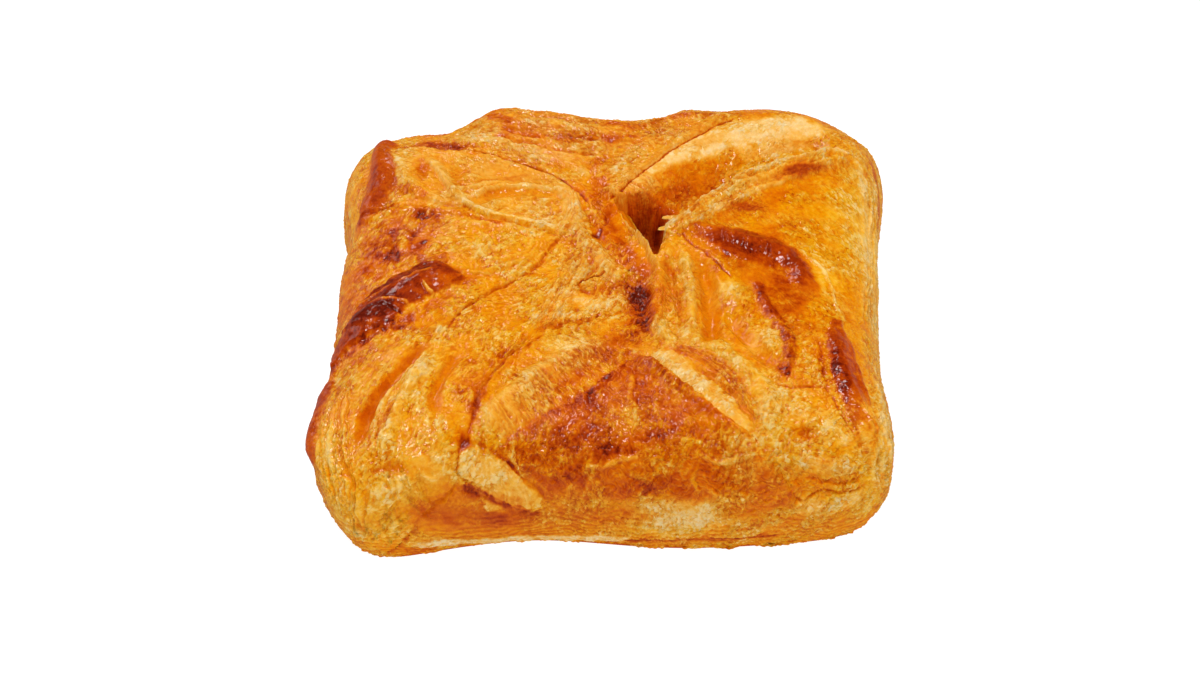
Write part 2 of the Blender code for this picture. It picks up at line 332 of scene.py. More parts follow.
def smooth_path(points: Path, steps: int = 6) -> Array:
    """A Catmull-Rom curve through the points, with this many straight pieces between each two."""
    knots = np.array(points, dtype=float)
    padded = np.vstack([2.0 * knots[0] - knots[1], knots, 2.0 * knots[-1] - knots[-2]])
    t = np.linspace(0.0, 1.0, steps, endpoint=False)[:, None]
    pieces = []
    for p0, p1, p2, p3 in zip(padded, padded[1:], padded[2:], padded[3:]):
        bend = (2.0 * p0 - 5.0 * p1 + 4.0 * p2 - p3) * t ** 2 + (3.0 * p1 - p0 - 3.0 * p2 + p3) * t ** 3
        pieces.append(0.5 * (2.0 * p1 + (p2 - p0) * t + bend))
    return np.vstack(pieces + [knots[-1:]])


def nearest_on(path: Array, sheet: Array) -> tuple[Array, Array]:
    """Distance from each sheet point to a path, positive on its left, and the share of the path there."""
    best = np.full(sheet.shape[:-1], np.inf)
    side = np.ones_like(best)
    share = np.zeros_like(best)
    steps = np.diff(path, axis=0)
    lengths = np.hypot(steps[:, 0], steps[:, 1])
    before = 0.0
    for start, step, length in zip(path, steps, lengths):
        offset = sheet - start
        t = np.clip((offset @ step) / length ** 2, 0.0, 1.0)
        gap = offset - t[..., None] * step
        distance = np.hypot(gap[..., 0], gap[..., 1])
        closer = distance < best
        best = np.where(closer, distance, best)
        side = np.where(closer, np.sign(step[0] * offset[..., 1] - step[1] * offset[..., 0] + 1e-12), side)
        share = np.where(closer, (before + t * length) / lengths.sum(), share)
        before += length
    return best * side, share


@dataclass(frozen=True)
class Fold(Form):
    """A ridge along a smooth path, or a groove where it sinks.

    flanks is the width of both its sides, or of its left and its right side, seen along the path.
    end is its rise at the path's end as a share of its rise at the start, and taper the share in
    which each end dies away. peak is 2 for a round top and 1 for a sharp one.
    """

    path: Path
    flanks: float | Point
    end: float = 1.0
    taper: float = 0.25
    peak: float = 2.0

    def reach(self) -> tuple[Array, Array]:
        """The path's box, grown by the wider flank."""
        return box_about(self.path, np.max(self.flanks))

    def cover(self, sheet: Array) -> tuple[Array, Array]:
        """(1 - d^peak)^2 across, with d the share of that flank's width, times the taper."""
        distance, share = nearest_on(smooth_path(self.path), sheet)
        width = np.where(distance > 0.0, *np.broadcast_to(self.flanks, 2))
        across = (1.0 - np.clip(np.abs(distance) / width, 0.0, 1.0) ** self.peak) ** 2
        taper = smoothstep(np.minimum(share, 1.0 - share) / self.taper + 0.3)
        return across * taper * mix(1.0, self.end, share), np.clip(across * taper * 1.6, 0.0, 1.0)


@dataclass(frozen=True)
class Pleats(Form):
    """A bundle of fine pleats between two side paths that run the same way.

    count is how many lie side by side, and gap how much darker they are between their crests, as painted shade in the
    folds.
    """

    first: Path
    second: Path
    count: int
    gap: float = 0.2

    def reach(self) -> tuple[Array, Array]:
        """The box of both sides, grown a little."""
        return box_about(self.first + self.second, 1.0)

    def cover(self, sheet: Array) -> tuple[Array, Array]:
        """A sawtooth of count a / (a + b), with a and b the distances to the two sides: each pleat
        rises fast to its crest and falls away slowly. A sine makes their widths uneven and another
        their strengths. All fade at the sides and towards the ends."""
        to_first, along = nearest_on(smooth_path(self.first), sheet)
        to_second, other = nearest_on(smooth_path(self.second), sheet)
        a, b = np.abs(to_first), np.abs(to_second)
        share = (along + other) / 2.0
        phase = self.count * a / np.maximum(a + b, 1e-6)
        phase = phase + 0.38 * np.sin(2.3 * phase + 1.5 * share + 1.0)
        part = np.mod(phase, 1.0)
        crest = smoothstep(part / 0.3) * (1.0 - smoothstep((part - 0.3) / 0.7))
        crest *= 0.35 + 0.65 * np.abs(np.sin(7.3 * np.floor(phase) + 4.0 * share))
        depth = np.where(to_first * to_second < 0.0, 1.0, -1.0) * np.minimum(a, b)
        fade = smoothstep(depth / 0.9 + 0.4) * smoothstep(np.minimum(share, 1.0 - share) / 0.15)
        return crest * fade, fade

    def shade(self, lift: Array) -> Array | float:
        """The painted shade in the gap between two crests."""
        return self.gap * (1.0 - lift)


@dataclass(frozen=True)
class Leaf(Form):
    """A layer of dough with a torn outline, lifted by its thickness; edge is the step's width in mm."""

    corners: Path
    edge: float

    def reach(self) -> tuple[Array, Array]:
        """The outline's box, grown by the edge."""
        return box_about(self.corners, self.edge)

    def cover(self, sheet: Array) -> tuple[Array, Array]:
        """1 inside the outline, by the even-odd rule, falling to 0 across the edge."""
        corners = np.array(self.corners, dtype=float)
        distance, _ = nearest_on(np.vstack([corners, corners[:1]]), sheet)
        inside = np.zeros(sheet.shape[:-1], dtype=bool)
        for (x0, y0), (x1, y1) in zip(corners, np.roll(corners, -1, axis=0)):
            if y0 != y1:
                crosses = (y0 > sheet[..., 1]) != (y1 > sheet[..., 1])
                inside ^= crosses & (sheet[..., 0] < (x1 - x0) * (sheet[..., 1] - y0) / (y1 - y0) + x0)
        depth = np.where(inside, np.abs(distance), -np.abs(distance))
        share = smoothstep(depth / self.edge + 0.5)
        return share, share


@dataclass(frozen=True)
class Swell(Form):
    """A soft oval hump, hollow or patch of colour. turn is in degrees, anticlockwise."""

    centre: Point
    half_axes: Point
    turn: float = 0.0

    def reach(self) -> tuple[Array, Array]:
        """A square about the centre, 1.9 times the longer half axis each way."""
        return box_about((self.centre,), 1.9 * max(self.half_axes))

    def spread(self, sheet: Array) -> Array:
        """Squared distance from the centre in half axes."""
        turn = math.radians(self.turn)
        offset = sheet - np.array(self.centre, dtype=float)
        long_way = offset[..., 0] * math.cos(turn) + offset[..., 1] * math.sin(turn)
        short_way = offset[..., 1] * math.cos(turn) - offset[..., 0] * math.sin(turn)
        return (long_way / self.half_axes[0]) ** 2 + (short_way / self.half_axes[1]) ** 2

    def cover(self, sheet: Array) -> tuple[Array, Array]:
        """A Gaussian, one standard deviation at 0.6 of each half axis; its paint is a little fuller."""
        hump = np.exp(-self.spread(sheet) / 0.72)
        return hump, np.clip(hump * 1.5, 0.0, 1.0)


def browning_and_painted_light(*rows: tuple[float, ...]) -> tuple[Swell, ...]:
    """Patches that only change the tone, as more or less browning and in places painted light or shade:
    centre (two values), half axes (two), turn and how much.
    """
    return tuple(Swell(row[:2], row[2:4], row[4], bake=row[5]) for row in rows)


@dataclass(frozen=True)
class Skin:
    """The fine skin about one place: its grain in degrees, and how high it wrinkles, blisters and
    flakes in mm."""

    centre: Point
    half_axes: Point
    turn: float
    grain: float
    wrinkle: float
    blister: float
    flake: float


@dataclass(frozen=True)
class Region:
    """A part of the sheet: its forms, in the order in which they are laid, and its fine skin."""

    forms: tuple[Form, ...] = ()
    skins: tuple[Skin, ...] = ()


@dataclass(frozen=True)
class BackFlap(Region):
    """The back flap, the pale fold at its left, and the open gap beside the right flap."""

    forms: tuple[Form, ...] = (
        Swell((-4, 46), (38, 12), tone=0.4, dry=0.5),
        Swell((-16, 54), (16, 14), rise=2.6),
        Swell((36, 56), (22, 14), rise=2.6),
        Swell((-33, 53), (7, 10), rise=-1.6),
        Swell((-22, 56), (6, 10), rise=0.9),
        Swell((19.5, 58), (5.5, 10), rise=1.3),
        Swell((-42, 50), (12, 12), rise=-1.6),
        Fold(((-44, 57), (-28, 57), (-6, 59), (16, 60), (34, 58)), (9, 7), taper=0.1, tone=0.62, dry=0.4),
        Pleats(((-26, 45), (-10, 40), (6, 39), (14, 42)), ((-26, 57), (-8, 53), (8, 54), (22, 57)), 6, rise=0.45,
               tone=0.36, dry=0.5),
        Fold(((-26, 52), (-21, 49), (-17, 46.5), (-13, 45)), 1.5, rise=0.4, tone=0.66, dry=0.3),
        Fold(((-21, 47), (-16, 43.5), (-12, 42.5), (-5, 41)), 1.2, rise=-0.4, tone=0.7),
        Fold(((-9, 43.5), (-2, 43.5), (4.5, 43), (8, 45)), 1.7, rise=0.4, tone=0.72),
        Fold(((-2, 50), (8, 49), (15, 52), (22, 52), (30, 51)), 2, rise=0.5, tone=0.68, dry=0.4),
        Fold(((-30, 44), (-24, 42.5), (-17, 40), (-8, 37), (-2, 34)), (1.8, 1.6), rise=0.5, tone=0.26, dry=0.55),
        Fold(((-16, 36.5), (-8, 35), (-2, 30)), 1.8, rise=0.5, tone=0.3, dry=0.6),
        Fold(((2, 30), (6, 36), (12, 42)), (2, 1.6), rise=0.4, tone=0.34, dry=0.5),
        Fold(((-24, 45), (-16, 41), (-8, 38), (-1, 37)), 0.9, rise=-0.4, tone=0.58, dry=0.1),
        Swell((0, 35), (3, 1.6), tone=0.6),
        Swell((10, 47), (3.5, 1.4), tone=0.55),
        Leaf(((-46, 42), (-39, 42), (-33, 39.5), (-27, 38), (-22, 36), (-17, 33.5), (-13, 31), (-9, 28.5), (-6, 26),
             (-4, 21), (-4, 15), (-8, 10), (-14, 13), (-21, 15.5), (-26, 17.5), (-32, 20), (-39, 22.5)), 0.9, rise=0.7,
             tone=0.32, dry=0.4),
        Swell((-20, 30), (12, 3.5), -14, rise=-0.7, tone=0.33, dry=0.6, calm=0.5),
        Swell((-30.5, 30), (2.4, 4), -30, rise=-0.6, tone=0.44, dry=0.2, calm=0.5),
        Swell((-42, 31), (3.5, 9), -20, rise=0.5, tone=0.2, dry=0.5),
        Swell((-37.5, 32), (2, 3.4), rise=-0.4, tone=0.5),
        Fold(((-27.5, 20.5), (-21, 23), (-13, 24), (-7, 22)), (2.8, 2.2), rise=-0.9, tone=0.4, dry=0.1, calm=0.7),
        Swell((-10, 19), (2, 3), tone=0.44, dry=0.1),
        Fold(((-45, 41), (-43, 34), (-41, 28), (-37.5, 23.5), (-33, 20.5)), (2.2, 2), rise=0.6, tone=0.16, dry=0.5),
        Fold(((-44, 27.5), (-40, 25), (-36, 22)), (1.6, 1.4), rise=-0.2, tone=0.52),
        Fold(((-37, 36), (-34, 31), (-32.5, 27.5), (-30.5, 23.5), (-28, 19.5), (-25, 17), (-21, 15.5), (-17, 14),
             (-11.5, 12), (-9, 10.5)), (2, 1), rise=0.8, taper=0.08, tone=0.12, dry=0.6),
        Fold(((-35, 32), (-32.5, 27.5), (-30, 24.5), (-25, 26), (-20, 27.5)), 1, rise=0.5, tone=0.14, dry=0.55,
             paint=1.2),
        Fold(((-27, 22.5), (-23, 25), (-17, 26.3), (-9, 25)), 0.9, rise=0.4, tone=0.16, dry=0.5, paint=1.2),
        Fold(((-9, 26), (-5.5, 20), (-5, 13)), (2.2, 1.6), rise=0.7, tone=0.16, dry=0.6),
        Pleats(((-9, 26), (-8, 20), (-9, 14)), ((-4, 23), (-4, 17), (-6, 12)), 4, rise=0.35, tone=0.14, dry=0.6),
        # A thin dark line where the pale fold meets the left flap: a painted shadow line under that edge.
        Fold(((-21, 14.8), (-15, 12), (-11, 10.5), (-8, 9)), (0.5, 0.6), rise=-0.35, peak=1, tone=0.78, paint=1.4),
        Fold(((-40, 42.5), (-33, 40), (-27, 38.5), (-22, 36.5), (-17, 34), (-13, 31.5), (-9, 29), (-6, 26.5),
             (-3.5, 23.5), (-2, 20)), (0.9, 0.6), rise=-0.6, peak=1, taper=0.08, tone=0.78, dry=0.1, paint=1.5),
        Swell((-34, 42.6), (6, 2), -24, rise=-0.6, tone=0.9, dry=0.2, paint=1.4),
        Swell((-36, 44), (5, 2), -24, tone=0.84, dry=0.2),
        Fold(((10.8, 13.4), (15.2, 17.6), (22.3, 26.3), (27.6, 31.4), (33.2, 34.9), (40, 38.6), (50.5, 44.6)),
             (11.5, 4.6), rise=-8.5, end=0.24, taper=0.12, paint=0),
        Fold(((5, 24), (9.5, 30), (14, 35.5), (19, 39), (25, 43), (34, 46), (46, 50)), (5, 4.5), taper=0.08, tone=0.08,
             dry=0.85, calm=0.4, paint=1.2),
        # The amber band and its darker patches down the far wall of the gap: painted shade inside the gap, over the
        # dough's own browning.
        Fold(((9, 24), (13, 28.5), (19, 33), (25, 36), (31, 38.6)), (3.5, 3), taper=0.12, tone=0.5, dry=0.05, calm=0.4,
             paint=1.2),
        Swell((17, 29), (4, 2), 40, tone=0.5, dry=0.1, bake=0.05),
        Fold(((12, 24), (16, 27.5), (21, 31), (27, 34)), (2.4, 2.6), bake=0.12),
        # A greyish olive band below the gap's upper rim: painted shadow on the pale wall.
        Fold(((19, 40.5), (26, 43.2), (34.5, 44.8), (44, 47)), 1.8, taper=0.1, tone=0.34, dry=0.9, calm=0.7),
        Fold(((22.5, 35.4), (26.5, 37.2), (30.5, 38.8)), (1.8, 1.4), tone=0.6, paint=1.2),
        Swell((36, 38), (9, 2.6), 24, bake=-0.16),
        Fold(((26, 43), (33, 45.6), (41, 47.2), (49, 49)), (3, 2.6), tone=0.06, dry=0.8, calm=0.4, paint=1.2),
        Fold(((31, 40.2), (38, 42.6), (46, 45)), 1.6, tone=0.36, dry=0.8, calm=0.6, paint=1.1),
        Pleats(((2.5, 25.5), (7, 22)), ((8.5, 33), (14, 27.5)), 6, rise=0.4, tone=0.12, dry=0.7, gap=0.28),
        Fold(((1.5, 22), (5.5, 27.5), (9.5, 33.5), (14, 38.5), (18, 42.5), (22.5, 46.5), (29, 51)), (3, 0.6), rise=0.7,
             end=0.7, taper=0.08, tone=0.4, dry=0.4),
        Fold(((2, 21.7), (6, 27), (10.2, 33), (14.7, 38), (18.7, 42), (23.3, 46), (29.5, 50.3)), 0.45, rise=-0.2,
             peak=1, taper=0.06, tone=0.82, dry=0.1, paint=1.6),
        Fold(((0, 25), (3, 23), (7, 20), (9, 18)), (1.5, 0.6), rise=0.9, tone=0.2, dry=0.6),
        *browning_and_painted_light((-43.5, 27, 3.4, 7, -15, 0.2), (-39, 35, 3, 3, 0, 0.1), (-25, 25, 8, 2.4, -12, 0.1),
                 (-35.5, 21.5, 5, 2, -35, 0.14), (-8, 38, 9, 2.6, 0, 0.07), (-16, 20, 7, 3, -10, -0.1),
                 (24, 38, 4, 2, 35, -0.1), (33, 40, 9, 3.4, 24, -0.14)),
        Fold(((-25, 27), (-20.5, 28.8), (-15.5, 29.4)), 1.3, bake=0.16),
    )
    skins: tuple[Skin, ...] = (
        Skin((-22, 28), (20, 10), -15, -12, 0.22, 0.06, 0.12),
        Skin((-6, 46), (34, 10), 0, -8, 0.42, 0.08, 0.26),
        Skin((26, 38), (26, 8), 38, 40, 0.18, 0.04, 0.12),
    )


@dataclass(frozen=True)
class LeftFlap(Region):
    """The left flap: dark glossy shoulders, long fans from the front left corner, a golden tip."""

    forms: tuple[Form, ...] = (
        Swell((-40, -38), (16, 22), 20, rise=1.2, tone=0.33, dry=0.04),
        Leaf(((-8, 10), (-14, 13), (-21, 15.5), (-26, 17.5), (-33, 20), (-41, 23), (-56, 22), (-58, -14), (-44, -18),
             (-32, -20), (-29, -14.5), (-24.5, -9.5), (-20.5, -6), (-16.5, -3), (-13, 0.5), (-10, 5.5)), 0.5, rise=0.45,
             tone=0.36, dry=0.03),
        Swell((-42.5, 11), (6.5, 10), tone=0.62, dry=0.15),
        Swell((-60, 2), (9, 24), tone=0.5, dry=0.1),
        Swell((-26, 5), (12, 8), 10, rise=0.5),
        Fold(((-30, 13.5), (-22, 13.5), (-15, 11), (-11, 9)), 1.4, rise=0.4, tone=0.24, dry=0.1),
        Fold(((-25.5, 11), (-23, 7), (-25.5, 2)), 0.8, rise=0.4, tone=0.2, dry=0.15),
        Fold(((-20.5, 1.5), (-16.5, 3.5), (-14, 7), (-15, 10)), 0.8, rise=0.4, tone=0.2, dry=0.15),
        Fold(((-29, -3), (-23, -2), (-17, 1), (-12.5, 6)), 1.1, rise=0.5, tone=0.24, dry=0.1),
        # The dark line along this seam, under the left flap's edge, is that edge's painted shadow.
        Fold(((-8, 9.5), (-9.7, 6.5), (-11.7, 2.5), (-14, -1), (-17, -4), (-20.5, -6.5), (-24.5, -10), (-27.5, -13),
             (-30, -17.5), (-31, -23)), (0.7, 0.45), rise=-0.3, peak=1, taper=0.08, tone=0.7, paint=1.5),
        # The dark ridge at the back left and its leaf: their greyish colour, from a high dry, is partly a painted sheen
        # on the dark browning.
        Fold(((-47.6, 51), (-46.9, 42), (-46.6, 36), (-46.8, 30), (-48.2, 25), (-50.6, 19.5)), (3.4, 3.8), rise=1.6,
             tone=0.78, dry=0.4, calm=0.7, paint=1.6),
        Leaf(((-49, 50), (-46.4, 50), (-44.8, 43), (-43.8, 35.5), (-43, 29), (-44.8, 24.2), (-47.2, 20.6), (-49.6, 19),
             (-50.8, 21.5), (-50.6, 27), (-50.2, 33), (-49.6, 39), (-49.3, 45)), 1.6, rise=0.3, tone=0.72, dry=0.35,
             calm=0.6, paint=1.6),
        Swell((-47.4, 30), (1.4, 7), 4, rise=-0.3, tone=0.86, dry=0.3),
        Fold(((-53, 47), (-55.5, 39), (-54.5, 30), (-53, 23)), 2.4, tone=0.34, dry=0.25, paint=1.3),
        Fold(((-51.5, 22), (-47, 21.5), (-42.5, 21.5)), 0.8, rise=-0.6, tone=0.84),
        Fold(((-49, 19.5), (-45, 20), (-39.5, 19), (-33.5, 18), (-28, 16)), 1.4, rise=0.5, tone=0.52),
        Fold(((-28, 16), (-24, 14.5), (-20, 13)), 1, rise=-0.2, tone=0.72),
        Fold(((-39, 17), (-35.5, 17), (-33, 16.4)), (1.8, 2.2), rise=-0.1, tone=0.78, paint=1.2),
        Fold(((-38, 15), (-39.4, 10.5), (-38, 6), (-36.5, 2.5)), 1.8, rise=-0.2, tone=0.7),
        Fold(((-42.5, 14.5), (-43, 10), (-42.5, 5)), 1.3, rise=-0.3, tone=0.74),
        Swell((-39.3, 11), (1.4, 2.2), tone=0.86, dry=0.1),
        Swell((-37.4, 7.6), (2.6, 1), 10, tone=0.82),
        Swell((-42.4, 6.6), (1, 1.6), tone=0.86),
        Swell((-46, 8), (2.6, 4), rise=0.3, tone=0.68, dry=0.3),
        Swell((-39, 14), (1.4, 1.6), rise=0.3, tone=0.3, dry=0.2),
        Swell((-40.7, 8.5), (0.9, 2.4), rise=0.3, tone=0.3, dry=0.2),
        Pleats(((-36, 3), (-31, 3.5)), ((-37, -1), (-31, 0.5)), 3, rise=0.3, tone=0.55, dry=0.1, gap=0.3),
        Pleats(((-35, 13.5), (-28.5, 13)), ((-36, 6.5), (-28.5, 7.5)), 4, rise=0.4, tone=0.2, dry=0.25, gap=0.26),
        Leaf(((-27.5, -5), (-31, -1.5), (-33, 0.5), (-37, 0.5), (-41, -1.5), (-43.5, -4.5), (-47, -5.5), (-50, -9),
             (-53, -14), (-57, -20), (-56, -24), (-51, -20.5), (-47.5, -19.5), (-44.5, -18), (-41.5, -15.5),
             (-39, -12.5), (-35.5, -9.8), (-32, -8)), 1.2, rise=0.8, tone=0.82, dry=0.25, calm=0.6, paint=1.6),
        Fold(((-29, -4.5), (-34, -3.6), (-39, -6), (-44, -11), (-47.5, -14.5), (-51.5, -18.5)), 4.5, rise=1.1, end=1.4,
             tone=0.88, dry=0.35, calm=0.7, paint=1.5),
        Swell((-33, -6), (5, 1.8), 10, tone=0.68),
        Fold(((-47, -12.3), (-43.5, -12.8), (-40, -14.8)), (0.5, 0.7), rise=-0.7, peak=1, tone=1, paint=1.5),
        Swell((-54, -8), (4, 5), -40, tone=0.6, dry=0.3),
        *browning_and_painted_light((-45.5, -13.6, 6, 2.6, 35, 0.14), (-38, -7, 4.5, 1.6, 22, 0.12)),
        # These four thin pale lines on the dark ridge are painted glints.
        Fold(((-49, -9), (-46, -7.2), (-42.5, -6.6)), 0.6, rise=0.4, tone=0.55, dry=0.5),
        Fold(((-41, -6.4), (-37.5, -4.2), (-34, -3.4)), (0.6, 0.5), rise=0.4, tone=0.55, dry=0.5),
        Fold(((-46.5, -10.6), (-43.5, -11.2), (-40.5, -11.4), (-38.5, -12.4)), (0.5, 0.4), rise=0.4, tone=0.42,
             dry=0.5),
        Fold(((-36, -6.6), (-35.3, -8), (-34.6, -9.4)), 0.5, rise=0.6, tone=0.16, dry=0.7),
        Fold(((-55, -22), (-55.5, -26), (-56, -31)), 2, rise=0.6, tone=0.86, dry=0.2),
        Fold(((-30, -8.5), (-36, -14.5), (-44, -19.5), (-54, -23)), (2.2, 2.4), tone=0.66),
        Fold(((-57, -28), (-60, -36), (-62.5, -45), (-61.5, -50)), 4.4, rise=2, tone=0.8, dry=0.2, calm=0.7, paint=1.6),
        Pleats(((-52.5, -22), (-44, -22), (-38, -18), (-32, -13.5)), ((-50.5, -27.5), (-42, -28), (-35, -23.5),
               (-29, -17)), 4, rise=0.4, tone=0.34, gap=0.16, dry=None),
        Pleats(((-54, -28.5), (-56, -36), (-58, -43.5), (-60.5, -50), (-61, -58.5), (-61.5, -67.5)), ((-49, -33),
               (-49.6, -40), (-49.8, -47), (-49.6, -53.5), (-50.4, -60), (-54, -67.5)), 8, rise=0.6, tone=0.22,
               dry=0.15, gap=0.34),
        Fold(((-35.5, -25), (-38.2, -29.6), (-41, -34), (-43.6, -38.4), (-45.6, -42.4), (-47.2, -46.6), (-48.2, -51)),
             (2, 2.2), rise=-1.4, end=1.1, tone=0.6, calm=0.95, paint=1.3),
        Fold(((-34, -29), (-36.8, -34.8), (-39, -40), (-40.8, -45), (-42.2, -49.5), (-43.6, -54)), (2.2, 1.6), rise=1.5,
             taper=0.15, tone=0.16, dry=0.3),
        Fold(((-34.6, -26.5), (-38, -32.4), (-41, -37.6), (-43.4, -42.6), (-45, -47)), (0.5, 0.7), rise=0.4, tone=0.1,
             dry=0.4, paint=1.2),
        Fold(((-28, -27), (-30.2, -31.6), (-32, -36), (-32.8, -41), (-33, -45)), (1.8, 2), rise=-1, tone=0.5, calm=0.8),
        Swell((-26, -38), (2.8, 5.5), -25, tone=0.64),
        Swell((-29.5, -46), (2, 2.6), tone=0.5),
        Pleats(((-16.5, -22), (-22, -30), (-25, -37.5), (-27, -44)), ((-10, -21), (-17.5, -29.5), (-22, -37.5),
               (-24, -44.5)), 4, rise=0.4, tone=0.46, dry=None),
        Swell((-32, -20), (2, 1.4), rise=0.3, tone=0.04, dry=0.5),
        Swell((-41.5, -57), (3, 1.8), rise=-0.5, tone=0.54),
        Swell((-33.5, -55.5), (5, 3.6), 20, rise=0.9, tone=0.14, dry=0.3),
        Fold(((-36.5, -56.5), (-35, -58), (-32.5, -57), (-31.8, -54.5), (-34.5, -53.8)), 0.6, rise=0.4, tone=0.02,
             dry=0.6, paint=1.2),
        Fold(((-48, -64), (-44, -61.5), (-40, -60), (-36, -58.5)), (2.4, 2.6), rise=0.6, tone=0.08, dry=0.25,
             paint=1.2),
        Pleats(((-47.5, -66), (-44.5, -59.5)), ((-36, -61.5), (-35.5, -56)), 8, rise=0.45, tone=0.1, dry=0.2, gap=0.34),
        Pleats(((-56.5, -60), (-58, -67), (-59, -74)), ((-44, -58), (-47, -63.5), (-56, -73.5)), 5, rise=0.6, tone=0.14,
               dry=0.1, gap=0.34),
        Pleats(((-43.5, -61), (-47.5, -66), (-56.5, -74)), ((-41, -66.5), (-47.5, -72), (-56, -77.5)), 6, rise=0.6,
               tone=0.12, dry=0.1, gap=0.34),
        Swell((-55, -69), (1.6, 1), 50, rise=-0.5, tone=0.66),
        Fold(((-52.5, -53.5), (-51.8, -57), (-50.6, -60.5)), (1.4, 1.2), rise=-0.5, tone=0.5, calm=0.7),
        Swell((-41, -56.2), (3, 1.6), -20, rise=-0.5, tone=0.56, calm=0.5),
        Fold(((-29.5, -58), (-34, -62), (-40, -67), (-45.5, -71.5), (-51.5, -76), (-58, -79.5)), (0.9, 0.5), rise=-0.45,
             peak=1, taper=0.08, tone=0.66, paint=1.5),
        Swell((-51, -79), (5, 2), 20, tone=0.66),
        *browning_and_painted_light((-48, 0, 8, 8, 0, 0.2), (-46, 11, 6, 5, 0, 0.13), (-35, 13.5, 4, 3.4, 0, 0.18), (-37, 3, 3, 4, 0, 0.1),
                 (-36.8, 13, 2.6, 5, 10, 0.12), (-49, -54, 2.4, 6, -10, -0.14)),
        Fold(((-57, -71), (-54.4, -64.5), (-53, -57.5)), 0.5, rise=-0.35, peak=1, tone=0.46, dry=None),
        Fold(((-56.4, -72), (-51, -66), (-47, -59.5)), 0.5, rise=-0.35, peak=1, tone=0.46, dry=None),
        Fold(((-55.8, -73), (-49.5, -69), (-43.5, -65)), 0.5, rise=-0.35, peak=1, tone=0.44, dry=None),
        *browning_and_painted_light((-42, -62.6, 6, 3, 35, -0.12), (-60, -64, 3, 6, 0, -0.14), (-24, -28.5, 5, 2.6, 30, 0.12),
                 (-35.4, 7.4, 2.4, 2.4, 0, 0.14), (-47, 14.5, 4, 2.6, 0, 0.12), (-28, -45, 3, 5, -15, -0.12),
                 (-13.5, -19, 7, 3, 35, -0.1), (-48.5, -28, 4, 3, 30, 0.17), (-42.6, -46, 2.4, 4, -15, 0.2),
                 (-24, -2.5, 6, 3, 30, 0.08), (-31, -20, 6, 3, 30, 0.1), (-10.5, -1, 3, 6, -20, -0.12),
                 # The last three rows lighten the front left corner and the seam beside it: painted light where that
                 # side turns away from the lamps.
                 (-46, -36, 2.6, 8, -15, 0.06), (-57, -52, 5, 10, 0, -0.24), (-54, -68, 9, 9, 0, -0.16),
                 (-41.5, -62.8, 8, 5.5, 35, -0.22)),
        Fold(((-50, 2), (-45, 4), (-40, 4)), 2.4, bake=0.18),
        Fold(((-37, -15.5), (-45, -19.5), (-53, -24)), 2.8, bake=0.22),
    )
    skins: tuple[Skin, ...] = (
        Skin((-38, -40), (18, 22), 70, 66, 0.5, 0.1, 0.2),
        Skin((-50, -67), (10, 8), 40, 42, 0.62, 0.05, 0.1),
        Skin((-24, 4), (18, 11), 15, 25, 0.34, 0.24, 0.2),
        Skin((-44, 10), (8, 14), 0, 75, 0.36, 0.34, 0.16),
        Skin((-62, 0), (8, 40), 0, 90, 0.3, 0.05, 0.1),
    )


